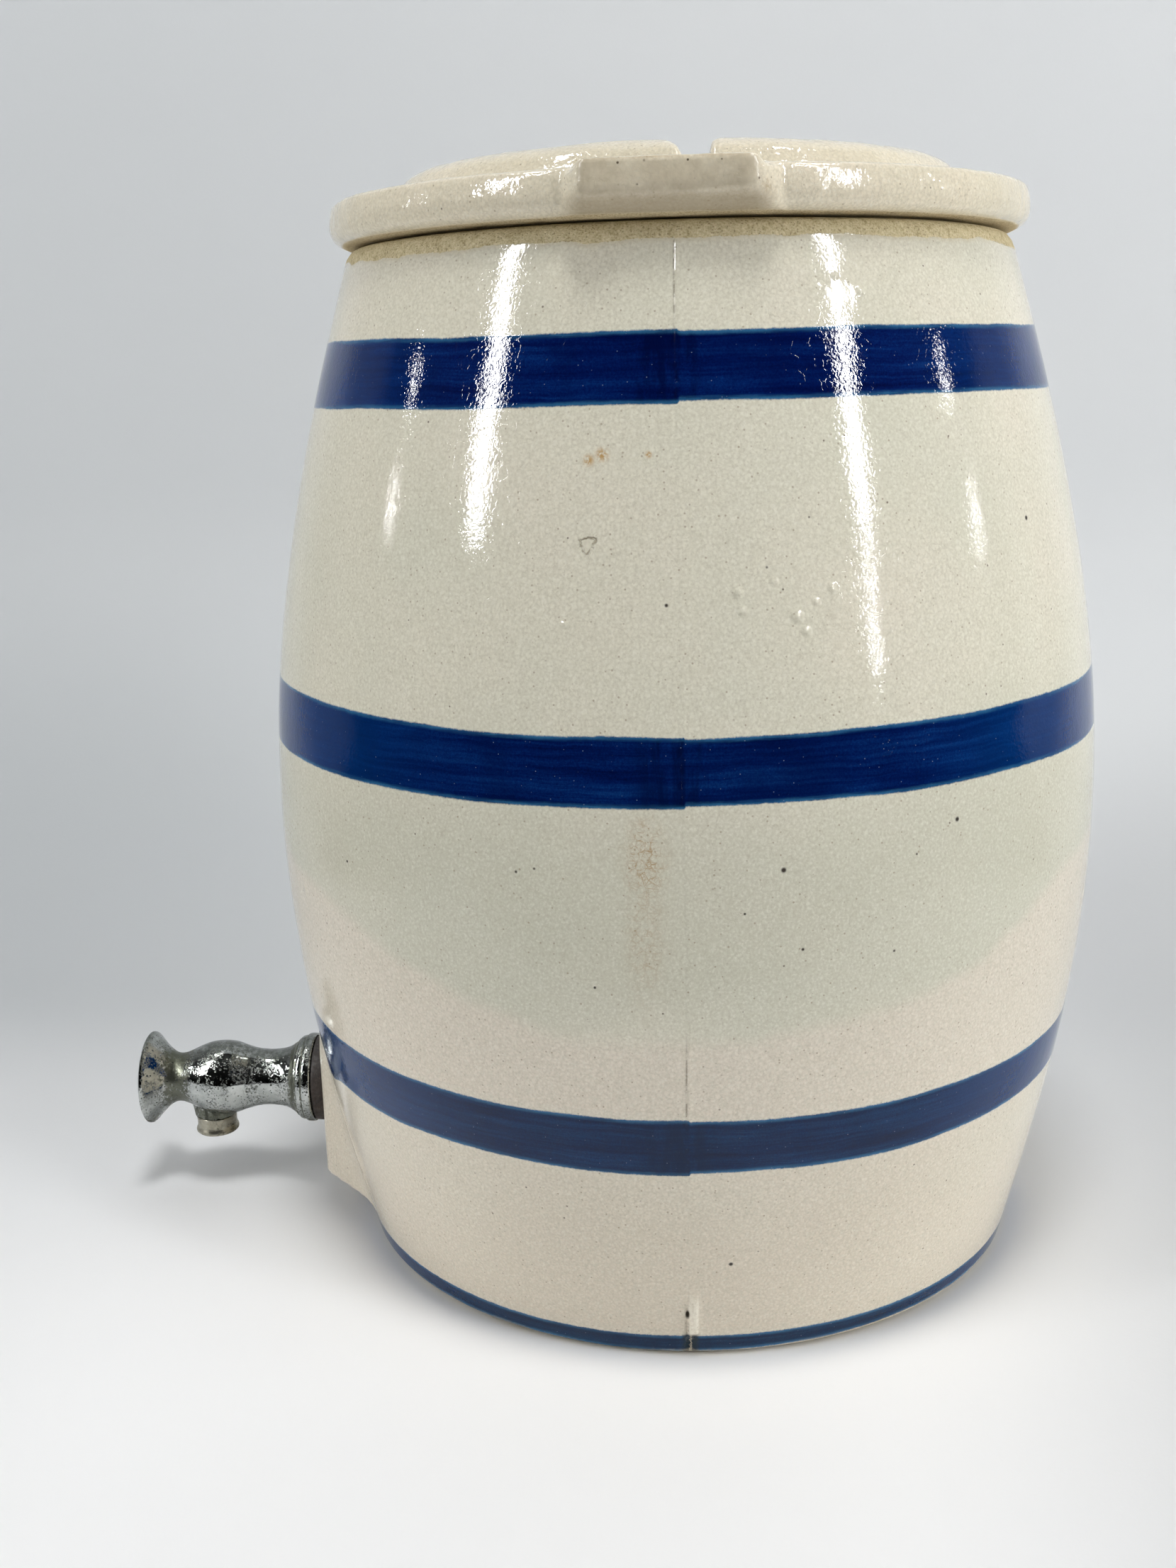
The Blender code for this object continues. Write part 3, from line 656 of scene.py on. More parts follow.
LID_OUTLINE = spline([
    (0.0, 340.75), (40, 340.7), (62, 340.5), (72.5, 340.15), (78.6, 339.1), (83.0, 337.0), (85.6, 333.8),
    (87.4, 331.7), (90.5, 330.9), (97.0, 330.85), (102.6, 330.85), (104.6, 330.55), (105.55, 329.6), (105.95, 328.0),
    (106.3, 325.6), (106.35, 323.4), (105.5, 321.0), (103.0, 319.25), (99.0, 318.6), (92.0, 318.55), (86.6, 318.5)], 1.2)
LID_OUTLINE = np.vstack([LID_OUTLINE, spline([
    (85.7, 317.4), (85.3, 312.6), (84.3, 310.5), (82.0, 310.05), (79.6, 310.5), (78.0, 313.0), (77.0, 319.0),
    (75.6, 322.6), (72.0, 323.9), (60, 324.0), (30, 324.0), (0, 324.0)], 1.5)])
LID_OUTLINE = np.vstack([LID_OUTLINE, [(-12, 324.0), (-12, 340.75)]])
LID_FIELD = polygon_field(LID_OUTLINE, (0.0, 304.0), (116.0, 346.0), 0.3)
SLOT_OUTLINE = [(3.2, 331.3), (8.7, 331.3), (9.1, 332.3), (9.5, 336.0), (10.2, 338.9), (11.9, 341.6),
                (11.9, 348), (-4.6, 348), (-4.6, 342.4), (-1.4, 340.2), (0.9, 337.6), (2.2, 334.4), (2.6, 332.0)]
SLOT_FIELD = polygon_field(SLOT_OUTLINE, (-30.0, 304.0), (40.0, 350.0), 0.3)


def lid_field(p):
    x, y, z = p[..., 0], p[..., 1], p[..., 2]
    r = np.hypot(x, y)
    rim_wave = 0.16 * value_noise(np.stack([x, y, 0 * z], -1), 34, 61)
    d = read_field(LID_FIELD, r + rim_wave * (r > 60), z)
    wavy = 0.35 * value_noise(p, 12, 66)
    for side in (1.0, -1.0):
        sx = x * side
        y_lo, y_hi, run_lo, run_hi = (-24.6, 20.7, 3.6, 5.8) if side > 0 else (-21.6, 23.4, 4.6, 4.6)
        ymid, half = (y_lo + y_hi) / 2, (y_hi - y_lo) / 2 + 6.5
        q = np.stack([np.abs(sx - 100.2) - 7.9, np.abs(y - ymid) - half, np.abs(z - 325.9) - 5.2], -1)
        lug = np.linalg.norm(np.maximum(q, 0), axis=-1) + np.minimum(q.max(-1), 0) - 1.7
        past = np.abs(y - ymid + wavy) - (y_hi - y_lo) / 2
        top = 332.0 - 1.35 * smooth_step(-0.6, 1.6, past)
        lug = smooth_max(lug, (z - top + (109.0 - sx) * 0.12 - wavy * 0.4), 1.0)
        # its ends slope back to the rim, and below a soft ridge its face turns under
        for y_end, run, way in ((y_lo, run_lo, -1.0), (y_hi, run_hi, 1.0)):
            size = math.hypot(run, 7.0)
            ramp = ((sx - 109.8) * run + (y - y_end + wavy * 1.2) * way * 7.0) / size
            lug = smooth_max(lug, ramp, 2.8)
        foot = 0.60 * (sx - 109.75) - 0.80 * (z - 323.9 - 0.02 * (y - ymid) + wavy * 0.5)
        lug = smooth_max(lug, foot, 2.0)
        # a soft tooled crease runs down the rim where each slope lands
        for ye in (y_lo - run_lo * 1.05, y_hi + run_hi * 1.0):
            xe = math.sqrt(106.4 ** 2 - ye ** 2) + 0.55
            groove = np.hypot(sx - xe, (y - ye + wavy * 0.8) * 0.8) - 1.35
            d = smooth_max(d, -groove, 1.1)
        d = smooth_min(d, lug, 0.8)
        if side > 0:
            for y0, z0, y1, z1 in ((9.6, 328.4, 12.6, 324.6), (12.4, 326.6, 14.6, 324.3)):
                t = np.clip(((y - y0) * (y1 - y0) + (z - z0) * (z1 - z0)) / ((y1 - y0) ** 2 + (z1 - z0) ** 2), 0, 1)
                cut = np.sqrt((x - 110.15) ** 2 + (y - y0 - t * (y1 - y0)) ** 2 + (z - z0 - t * (z1 - z0)) ** 2) - 0.62
                d = smooth_max(d, -cut, 0.4)
    slot = np.maximum(read_field(SLOT_FIELD, y + 0.35 * value_noise(p * (1, 0, 0), 18, 63), z), np.abs(x) - 98)
    d = smooth_max(d, -slot, 1.9)
    d = d + 0.12 * value_noise(p, 17, 64) + 0.09 * value_noise(p, 5, 65) + 0.04 * value_noise(p, 2.4, 67)
    return np.maximum(d, z - 340.9)


def make_lid():
    pts, faces = skin(lid_field, (-112.3, -108.7, 308.4), (112.4, 108.6, 342.6), 1.08)
    bend = bend_of(pts, faces)
    ob = build("stoneware_lid", pts, faces, {"bend": np.clip(bend / 0.2, -2, 2)})
    return fix_normals(ob)


# ========================================================================= tap
SPOUT_Y = -168.8


def tap_shape(r, a, y, outside):
    """The turned casting, with the boss for the spout under the bulb and slight unevenness."""
    boss_r, boss_end = 7.5, 13.6
    down = -np.sin(a)
    outer = outside & (y < -150) & (y > -184) & (down > 0.3)
    flat = boss_end / np.maximum(down, 0.3)
    # distance from the boss's wall, measured where the boss's end face would be
    off = np.hypot(flat * np.cos(a), y - SPOUT_Y) - boss_r
    boss = flat - np.maximum(off, 0) * 4.5
    raised = smooth_max(r, boss, 1.2)
    r = np.where(outer, raised, r)
    p = np.stack([r * np.cos(a), y, r * np.sin(a)], -1)
    return r + np.where(outside & (y < -128), 0.03 * value_noise(p, 5.0, 71) + 0.02 * value_noise(p, 2.0, 72), 0)


def make_tap():
    thread = []
    pitch, n = 1.5, 8
    length = 130.4 - 98.6
    steps = int(length / pitch * n)
    outer = [(8.1, -98.05), (8.7, -98.4)]
    shank_rows = [(9.0, -98.6 - length * i / steps) for i in range(steps + 1)]
    flange = spline([(15.2, -130.8), (15.45, -131.1), (15.45, -133.6), (15.15, -133.95)], 0.5)
    step1 = spline([(15.15, -133.95), (14.75, -134.2), (14.8, -135.0), (14.55, -135.9), (14.1, -136.15)], 0.35)
    step2 = spline([(14.1, -136.15), (13.85, -136.3), (13.8, -136.75), (13.35, -137.2), (12.9, -137.45)], 0.3)
    neck = spline([(12.9, -137.45), (12.2, -138.6), (11.2, -140.2), (10.35, -142.6), (9.9, -146.0), (9.88, -149.2),
                   (10.35, -152.8), (11.5, -156.8), (12.7, -160.6), (13.1, -164.2), (12.7, -168.6), (11.4, -172.6),
                   (9.7, -176.2), (8.65, -179.2), (8.62, -181.4), (9.6, -183.6), (11.6, -186.0), (13.9, -188.2),
                   (15.5, -189.6), (16.15, -190.4), (16.2, -190.95), (15.85, -191.28), (15.2, -191.3)], 0.42)
    inner = spline([(15.2, -191.3), (14.6, -190.9), (12.6, -189.2), (10.2, -186.9), (8.0, -184.6), (6.7, -183.1),
                    (6.2, -182.0)], 0.5)
    rest = [(6.2, -180.0), (6.2, -177.6), (3.4, -177.6), (3.4, -176.3), (1.8, -176.3), (1.8, -174.6), (6.6, -174.6),
            (9.2, -172.2), (10.5, -168.8), (10.8, -166.0), (10.5, -162.0), (9.6, -159.0), (7.6, -157.0), (4.6, -156.6),
            (4.6, -154.6), (5.2, -154.6), (5.6, -155.2), (7.6, -155.2), (7.6, -120.0), (7.6, -98.4), (7.75, -98.05)]
    skin_rows = np.vstack([outer, shank_rows, [(9.0, -130.75)], flange, step1[1:], step2[1:], neck[1:]])
    profile = np.vstack([skin_rows, inner[1:], rest])
    outside = (np.arange(len(profile)) < len(skin_rows) - 2)[:, None]

    def shape(r, a, y):
        on = outside & (np.abs(r - 9.0) < 0.01) & (y > -130.5)
        turn = (y / pitch + a / (2 * np.pi)) % 1.0
        ridge = np.abs(turn - 0.5) * 2
        fade = smooth_step(-98.2, -100.2, y) * smooth_step(-130.3, -127.5, y)
        cut = smooth_step(0.12, 0.85, ridge) * 0.78 * fade
        r = np.where(on, 9.2 - cut - 0.02, r)
        return tap_shape(r, a, y, outside)

    ob = lathe_y("plated_tap_body", profile, 128, TAP_Z, closed=True, shape=shape)
    fix_normals(ob)
    carve(ob, rod_z(5.9, TAP_Z - 18, TAP_Z - 8.6, 0, SPOUT_Y, 48))
    ob.data.shade_smooth()
    ob.data.set_sharp_from_angle(angle=math.radians(38))
    return ob


def ring_z(name, profile, segments, x, y, z, wave=None):
    """A closed (radius, height) outline turned about a vertical line."""
    profile = np.asarray(profile, float)
    a = np.linspace(0, 2 * np.pi, segments, endpoint=False)
    r = np.repeat(profile[:, 0][:, None], segments, 1)
    h = np.repeat(profile[:, 1][:, None], segments, 1)
    t = np.repeat(a[None, :], len(profile), 0)
    if wave:
        r, h = wave(r, t, h)
    pts = np.stack([x + r * np.cos(t), y + r * np.sin(t), z + h], -1).reshape(-1, 3)
    return fix_normals(build(name, pts, turn_faces(len(profile), segments, closed=True)))


def make_spout():
    outer = spline([(7.0, -13.95), (7.05, -14.6), (6.95, -16.0), (7.0, -17.6), (7.3, -18.5), (7.52, -19.1),
                    (7.5, -19.65), (7.1, -20.0), (6.5, -20.08), (5.6, -20.0), (4.9, -19.6), (4.6, -18.8)], 0.25)
    inner = spline([(4.6, -18.8), (4.6, -15), (4.6, -10.4)], 1.2)
    top = [(4.75, -10.0), (5.45, -10.0), (5.6, -10.3), (5.6, -12.0), (5.6, -13.75), (5.9, -13.93), (6.6, -13.93)]
    profile = np.vstack([outer, inner[1:], top])

    def wave(r, t, h):
        p = np.stack([r * np.cos(t), r * np.sin(t), h], -1)
        low = smooth_step(-16.5, -19.0, h)
        return r + 0.05 * value_noise(p, 3.0, 81) * low, h + 0.10 * value_noise(p * (1, 1, 0), 6.0, 82) * low * (h > -19.9)

    return ring_z("spout_nozzle", profile, 96, 0, SPOUT_Y, TAP_Z, wave)


def make_gasket(name, r_in, r_out, y_far, y_near, seed):
    """A pressed rubber ring whose outer edge bulges."""
    mid = (y_far + y_near) / 2
    half = (y_near - y_far) / 2
    outer = [(r_out - 0.5, y_far + 0.02), (r_out - 0.1, y_far + 0.25 * half), (r_out + 0.0, mid - 0.3 * half),
             (r_out + 0.0, mid + 0.3 * half), (r_out - 0.1, y_near - 0.25 * half), (r_out - 0.5, y_near - 0.02)]
    outer = spline(outer, 0.25)
    inner = [(r_in + 1.5, y_near), (r_in, y_near - 0.2), (r_in, mid), (r_in, y_far + 0.2), (r_in + 1.5, y_far)]
    profile = np.vstack([outer, inner])

    def shape(r, a, y):
        p = np.stack([r * np.cos(a), y, r * np.sin(a)], -1)
        return r + np.where(r > r_out - 0.3, 0.10 * value_noise(p * (1, 0.4, 1), 5.0, seed) - 0.1, 0)

    ob = lathe_y(name, profile, 96, TAP_Z, closed=True, shape=shape)
    return fix_normals(ob)


def make_button():
    front = spline([(0.0, -186.98), (2.0, -186.93), (3.6, -186.8), (4.8, -186.5), (5.5, -186.0), (5.85, -185.3)], 0.3)
    skirt = [(5.85, -184.6), (5.85, -182.9), (5.75, -182.75), (5.75, -182.45), (5.85, -182.3), (5.85, -181.2),
             (5.6, -180.9), (5.05, -180.9), (5.0, -181.4), (5.0, -185.2), (2.7, -185.2), (2.7, -182.7), (2.55, -182.6),
             (1.85, -182.6), (1.8, -182.8), (1.8, -185.9), (0.0, -185.9)]
    profile = np.vstack([front, skirt])
    ob = lathe_y("push_button_cap", profile, 64, TAP_Z, closed=False)
    fix_normals(ob)
    ob.data.set_sharp_from_angle(angle=math.radians(40))
    return ob


def make_spring():
    """Return spring: round wire with a closed coil at each end."""
    wire, coil, turns = 0.3, 4.25, 4.5
    front, back = SPRING_FRONT, SPRING_BACK
    turn = np.linspace(0, turns, int(turns * 44) + 1)
    share = np.clip((turn - 0.75) / (turns - 1.5), 0, 1) * 0.78
    share = share + 0.11 * np.minimum(turn, 0.75) / 0.75 + 0.11 * np.maximum(turn - (turns - 0.75), 0) / 0.75
    a = turn * 2 * np.pi
    line = np.stack([coil * np.cos(a), front + share * (back - front), TAP_Z + coil * np.sin(a)], 1)
    along = np.gradient(line, axis=0)
    along /= np.linalg.norm(along, axis=1)[:, None]
    out = np.stack([np.cos(a), 0 * a, np.sin(a)], 1)
    up = np.cross(along, out)
    up /= np.linalg.norm(up, axis=1)[:, None]
    sides = 12
    t = np.linspace(0, 2 * np.pi, sides, endpoint=False)
    # the wire is nipped off a little thinner at its two ends
    thick = wire * (1 - 0.25 * np.exp(-turn / 0.02) - 0.25 * np.exp(-(turns - turn) / 0.02))
    pts = line[:, None, :] + thick[:, None, None] * (np.cos(t)[None, :, None] * out[:, None, :]
                                                     + np.sin(t)[None, :, None] * up[:, None, :])
    n = len(turn)
    faces = [(i * sides + j, i * sides + (j + 1) % sides, (i + 1) * sides + (j + 1) % sides, (i + 1) * sides + j)
             for i in range(n - 1) for j in range(sides)]
    faces += [tuple(range(sides))[::-1], tuple((n - 1) * sides + j for j in range(sides))]
    ob = build("steel_return_spring", pts.reshape(-1, 3), faces)
    fix_normals(ob)
    ob.data.set_sharp_from_angle(angle=math.radians(50))
    return ob


# ==================================================================== materials
def glaze(g, size, thin, crack_share):
    """Speckle and crazing shared by pot and lid: returns a function that dresses a colour, and the crack mask."""
    fleck = g.noise(0.75, 2, 0.6)
    grain = g.noise(1.7, 3, 0.65)
    tiny = g.cells(1.7)
    speck = g.math("MULTIPLY", g.fit(tiny["Distance"], 0.10, 0.22, 1, 0), g.fit(tiny["Color"], 0.60, 0.72))
    mid = g.cells(5.5)
    midr = g.tree.nodes.new("ShaderNodeSeparateColor")
    g.put(midr.inputs[0], mid["Color"])
    spot = g.math("MULTIPLY", g.fit(mid["Distance"], 0.035, 0.07, 1, 0), g.fit(midr.outputs[1], 0.66, 0.72))
    warp = g.vec("ADD", g.mm, g.vec("SCALE", g.noise(2.0, 2, 0.5, colour=True), scale=1.6))
    net = g.cells(size, "DISTANCE_TO_EDGE", source=warp)["Distance"]
    broken = g.fit(g.noise(2.6, 2, 0.5), 0.46, 0.58)
    where = g.fit(g.noise(30, 2, 0.5), 0.36, 0.60, 0.30, 1.0)
    crack = g.math("MULTIPLY", g.math("MULTIPLY", g.fit(net, 0.0, 0.04, 1, 0), broken), where)
    # orange peel: low pebbles a millimetre or two across
    pebble = g.fit(g.cells(1.55, "DISTANCE_TO_EDGE", source=warp)["Distance"], 0.0, 0.30)

    def dress(colour):
        # painted shade: the orange peel's pebble edges are darkened in the colour to show their relief
        colour = g.mix(g.math("MULTIPLY", g.math("SUBTRACT", 1.0, pebble), 0.22), colour, (0.47, 0.435, 0.335))
        colour = g.mix(g.fit(grain, 0.48, 0.72, 0, 0.42), colour, thin)
        colour = g.mix(g.fit(fleck, 0.50, 0.70, 0, 0.32), colour, (0.46, 0.42, 0.32))
        colour = g.mix(g.fit(fleck, 0.48, 0.32, 0, 0.30), colour, (0.84, 0.82, 0.72))
        colour = g.mix(g.math("MULTIPLY", speck, 0.62), colour, (0.31, 0.245, 0.165))
        colour = g.mix(g.math("MULTIPLY", spot, 0.8), colour, (0.12, 0.09, 0.065))
        return g.mix(g.math("MULTIPLY", crack, crack_share), colour, (0.30, 0.24, 0.15))

    return dress, crack, warp, pebble


def paint_crock():
    g = Paint("cream_glazed_stoneware")
    blue, tone, bare, seam = g.attribute("blue"), g.attribute("tone"), g.attribute("bare"), g.attribute("seam")

    # cream glaze: drifts of tone and pinker towards the foot; round the belly a painted reflection, a darker greener
    # band standing for the dark room
    drift = g.noise(60, 3, 0.55)
    cream = g.ramp(drift, [(0.30, (0.690, 0.675, 0.553)), (0.5, (0.727, 0.696, 0.570)), (0.72, (0.764, 0.711, 0.590))])
    level = g.math("ADD", g.z, g.math("MULTIPLY", g.math("SUBTRACT", g.noise(75, 3, 0.5), 0.5), 70.0))
    painted_dark_band = g.math("MULTIPLY", g.fit(level, 88, 118), g.fit(level, 150, 200, 1, 0))
    cream = g.mix(g.math("MULTIPLY", painted_dark_band, 0.66), cream, (0.565, 0.567, 0.460))
    cream = g.mix(g.fit(level, 35, 95, 0.85, 0), cream, (0.690, 0.610, 0.495))
    # painted reflection: a lighter, warmer band under a line that rises towards the sides, standing for the pale floor
    side = g.math("MULTIPLY", g.y, 1 / 88.0)
    painted_floor_reflection = g.math("ADD", g.math("MULTIPLY", g.math("MULTIPLY", side, side), 17.0),
                   g.math("MULTIPLY", g.math("SUBTRACT", g.noise(42, 2, 0.5), 0.5), 16.0))
    painted_floor_reflection = g.math("SUBTRACT", g.math("SUBTRACT", g.z, 107.0), painted_floor_reflection)
    cream = g.mix(g.math("MULTIPLY", g.fit(painted_floor_reflection, -3.5, 3.5, 1, 0), g.fit(g.z, 40, 90, 0.0, 0.8)), cream, (0.745, 0.665, 0.560))
    dress, crack, warp, pebble = glaze(g, 3.4, (0.60, 0.575, 0.465), 0.16)
    cream = dress(cream)

    # brown stain that crept into the crazing
    column = g.vec("LENGTH", g.combine(g.math("MULTIPLY", g.math("ADD", g.y, 9.6), 1.0), 0.0,
                                       g.math("MULTIPLY", g.math("SUBTRACT", g.z, 158.5), 0.52)))
    faint = g.vec("LENGTH", g.combine(g.math("MULTIPLY", g.math("ADD", g.y, 10.0), 1.2), 0.0,
                                      g.math("MULTIPLY", g.math("SUBTRACT", g.z, 138.0), 0.30)))
    front = g.fit(g.x, 110, 120)
    stain = g.math("MAXIMUM", g.fit(column, 1.5, 8.0, 1, 0), g.fit(faint, 1.0, 9.0, 0.45, 0))
    stain = g.math("MULTIPLY", stain, front)
    net2 = g.cells(2.3, "DISTANCE_TO_EDGE", source=warp)["Distance"]
    fine = g.cells(1.3, "DISTANCE_TO_EDGE", source=warp)["Distance"]
    stain = g.math("MULTIPLY", stain, g.fit(g.noise(2.8, 3, 0.6), 0.30, 0.60))
    web = g.math("MAXIMUM", g.fit(net2, 0.0, 0.10, 1, 0), g.fit(fine, 0.0, 0.12, 0.6, 0))
    cream = g.mix(g.math("MULTIPLY", g.math("MULTIPLY", web, stain), 0.85), cream, (0.37, 0.23, 0.105))
    cream = g.mix(g.math("MULTIPLY", stain, 0.12), cream, (0.52, 0.41, 0.26))
    rust = g.math("MAXIMUM", g.near(116.1, -19.2, 260.6, 0.2, 2.7),
                  g.math("MAXIMUM", g.near(115.6, -22.6, 259.2, 0.1, 2.2), g.near(117.3, -7.4, 260.4, 0.1, 1.4)))
    cream = g.mix(g.math("MULTIPLY", g.math("MULTIPLY", rust, g.fit(g.noise(1.0, 3, 0.6), 0.34, 0.54)), 0.95), cream,
                  (0.46, 0.26, 0.07))
    # a shallow three-cornered chip, with a dark outline
    chip = g.vec("SUBTRACT", g.mm, (120.4, -23.2, 238.5))
    turns = [g.vec("DOT_PRODUCT", chip, (0.0, math.cos(t), math.sin(t))) for t in (math.radians(v) for v in (95, 200, 325))]
    tri = g.math("MAXIMUM", turns[0], g.math("MAXIMUM", turns[1], turns[2]))
    tri = g.math("ADD", g.math("MULTIPLY", tri, 0.62), g.math("MULTIPLY", g.vec("LENGTH", chip), 0.30))
    tri = g.math("ADD", tri, g.math("MULTIPLY", g.math("SUBTRACT", g.noise(1.7, 3, 0.55), 0.5), 1.7))
    tri = g.math("ADD", tri, g.fit(g.x, 100, 60, 0, 50))
    rim_of_chip = g.math("MULTIPLY", g.fit(tri, 1.0, 1.35), g.fit(tri, 1.5, 1.95, 1, 0))
    in_chip = g.fit(tri, 1.2, 1.6, 1, 0)
    cream = g.mix(g.math("MULTIPLY", in_chip, 0.5), cream, (0.70, 0.66, 0.53))
    cream = g.mix(g.math("MULTIPLY", rim_of_chip, g.fit(g.noise(1.4, 3, 0.6), 0.36, 0.52, 0.15, 0.75)), cream, (0.24, 0.20, 0.13))
    for x, y, z, size in ((130.3, 26.2, 154.9, 0.85), (110.4, 73.6, 162.6, 0.8), (125.6, -3.3, 223.4, 0.6),
                          (76.6, 95.6, 239.0, 0.8), (129.0, 31.4, 132.7, 0.55), (120.0, 56.4, 128.9, 0.5),
                          (132.0, 16.1, 143.6, 0.45), (92.2, -95.8, 146.7, 0.5), (125.5, -43.9, 153.5, 0.55),
                          (127.1, -38.9, 154.8, 0.5), (130.2, -23.5, 122.7, 0.5), (117.5, 62.1, 155.1, 0.45),
                          (118.1, 12.6, 34.1, 0.75), (121.5, 22.0, 232.0, 0.5), (117.0, 33.0, 244.0, 0.45),
                          (-120.0, 30.0, 120.0, 0.7), (-80.0, -85.0, 210.0, 0.8), (20.0, 131.0, 130.0, 0.75),
                          (-40.0, 110.0, 250.0, 0.7), (-95.0, 90.0, 160.0, 0.7), (10.0, -118.0, 250.0, 0.7)):
        cream = g.mix(g.near(x, y, z, size * 0.5, size * 1.2), cream, (0.05, 0.04, 0.035))

    # cobalt bands, brushed round the pot; the two lower ones are thinner and greyer
    wavy = g.vec("ADD", g.mm, g.vec("MULTIPLY", g.noise(14, 2, 0.5, colour=True), (0.0, 0.0, 2.2)))
    streak = g.noise(1.0, 4, 0.6, source=g.stretch(1 / 42, 1 / 42, 1 / 1.15, wavy))
    broad = g.noise(1.0, 2, 0.5, source=g.stretch(1 / 40, 1 / 40, 1 / 5.0))
    pool = g.noise(20, 3, 0.55)
    salt = g.noise(0.55, 3, 0.7)
    depth = g.math("ADD", g.math("MULTIPLY", streak, 0.40), g.math("ADD", g.math("MULTIPLY", broad, 0.30),
                   g.math("MULTIPLY", salt, 0.30)))
    cobalt = g.ramp(depth, [(0.36, (0.0003, 0.0030, 0.040)), (0.47, (0.0006, 0.0070, 0.072)),
                            (0.57, (0.0015, 0.018, 0.115)), (0.70, (0.006, 0.048, 0.19))])
    cobalt = g.mix(g.fit(pool, 0.42, 0.68, 0, 0.45), cobalt, (0.0003, 0.0034, 0.044))
    grey = g.ramp(depth, [(0.36, (0.0010, 0.011, 0.038)), (0.48, (0.0018, 0.020, 0.064)), (0.68, (0.007, 0.046, 0.115))])
    cobalt = g.mix(tone, cobalt, grey)
    # painted sheen: the bands turn paler and bluer towards ±Y, where the main view sees them at a slant
    side_sheen = g.fit(g.math("ABSOLUTE", g.y), 55, 115, 0.0, 0.60)
    cobalt = g.mix(side_sheen, cobalt, (0.002, 0.044, 0.180))
    # the brush strokes overlap on either side of the seam
    upright = g.noise(1.0, 3, 0.6, source=g.stretch(1 / 3.0, 1 / 3.0, 1 / 40))
    overlap = g.math("MULTIPLY", g.fit(g.math("ABSOLUTE", g.math("ADD", seam, 3.0)), 4.0, 13.0, 1, 0), g.fit(upright, 0.38, 0.62, 0.1, 0.75))
    blot = g.math("MULTIPLY", g.fit(g.math("ABSOLUTE", g.math("ADD", seam, g.math("MULTIPLY", g.noise(4, 2, 0.5), 2.0))), 0.3, 1.9, 1, 0),
                  g.fit(g.noise(3.2, 2, 0.5), 0.36, 0.55, 0.2, 0.9))
    cobalt = g.mix(g.math("MAXIMUM", overlap, blot), cobalt, g.mix(tone, (0.0003, 0.0025, 0.032), (0.0018, 0.016, 0.050)))
    ragged = g.math("ADD", g.math("MULTIPLY", g.math("SUBTRACT", g.noise(2.6, 3, 0.6), 0.5), 0.55),
                    g.math("MULTIPLY", g.math("SUBTRACT", salt, 0.5), 0.5))
    depth_in = g.math("ADD", blue, ragged)
    painted = g.fit(depth_in, -0.28, 0.28)
    fringe = g.fit(depth_in, 0.15, 1.5, 1.0, 0.0)
    patchy = g.fit(g.noise(1.0, 3, 0.6, source=g.stretch(1 / 16, 1 / 16, 1 / 1.2)), 0.34, 0.60, 0.35, 0.95)
    cobalt = g.mix(g.math("MULTIPLY", fringe, patchy), cobalt, (0.030, 0.135, 0.27))
    dust = g.cells(1.25)
    dust = g.math("MULTIPLY", g.fit(dust["Distance"], 0.07, 0.16, 1, 0), g.fit(dust["Color"], 0.72, 0.80))
    cobalt = g.mix(g.math("MULTIPLY", dust, 0.6), cobalt, (0.20, 0.25, 0.36))
    colour = g.mix(painted, cream, cobalt)

    # the mould seam: a hairline where it was fettled, and an open nick at the foot
    line = g.fit(g.math("ABSOLUTE", g.math("ADD", seam, 0.75)), 0.05, 0.42, 1, 0)
    bold = g.math("MAXIMUM", g.fit(g.z, 284, 298), g.math("MAXIMUM", g.fit(g.z, 6, 20, 1, 0),
                  g.math("MULTIPLY", g.fit(g.z, 78, 84), g.fit(g.z, 98, 112, 1, 0))))
    bold = g.math("MULTIPLY", g.math("ADD", g.math("MULTIPLY", bold, 0.60), 0.03), g.fit(g.noise(2.6, 3, 0.6), 0.40, 0.56))
    bold = g.math("MULTIPLY", bold, g.math("SUBTRACT", 1.0, g.math("MULTIPLY", painted, 0.9)))
    colour = g.mix(g.math("MULTIPLY", line, bold), colour, (0.16, 0.125, 0.08))
    crumb = g.noise(1.1, 3, 0.65)
    nick = g.math("ABSOLUTE", g.math("ADD", seam, g.math("MULTIPLY", g.math("SUBTRACT", crumb, 0.5), 2.0)))
    low = g.fit(g.z, 7.0, 8.6, 1, 0)
    # painted shade: the open nick is darkened nearly to black
    colour = g.mix(g.math("MULTIPLY", g.math("MULTIPLY", g.fit(nick, 1.4, 3.0, 1, 0), low), 0.94), colour, (0.008, 0.022, 0.034))
    colour = g.mix(g.math("MULTIPLY", g.math("MULTIPLY", g.fit(nick, 0.10, 0.45, 1, 0), low), 0.65), colour, (0.60, 0.53, 0.40))
    # the torn flake above it is paler, with a pinhole on its left
    flake = g.math("MULTIPLY", g.fit(g.math("ABSOLUTE", g.math("SUBTRACT", seam, 0.85)), 0.9, 1.7, 1, 0),
                   g.math("MULTIPLY", g.fit(g.z, 7.5, 9.0), g.fit(g.z, 19.0, 24.0, 1, 0)))
    colour = g.mix(g.math("MULTIPLY", flake, g.fit(crumb, 0.36, 0.56, 0.25, 0.8)), colour, (0.82, 0.775, 0.66))
    hole = g.vec("LENGTH", g.combine(g.math("ADD", seam, 1.05), 0.0, g.math("MULTIPLY", g.math("SUBTRACT", g.z, 15.6), 0.42)))
    colour = g.mix(g.math("MULTIPLY", g.fit(hole, 0.35, 0.85, 1, 0), 0.95), colour, (0.030, 0.022, 0.014))

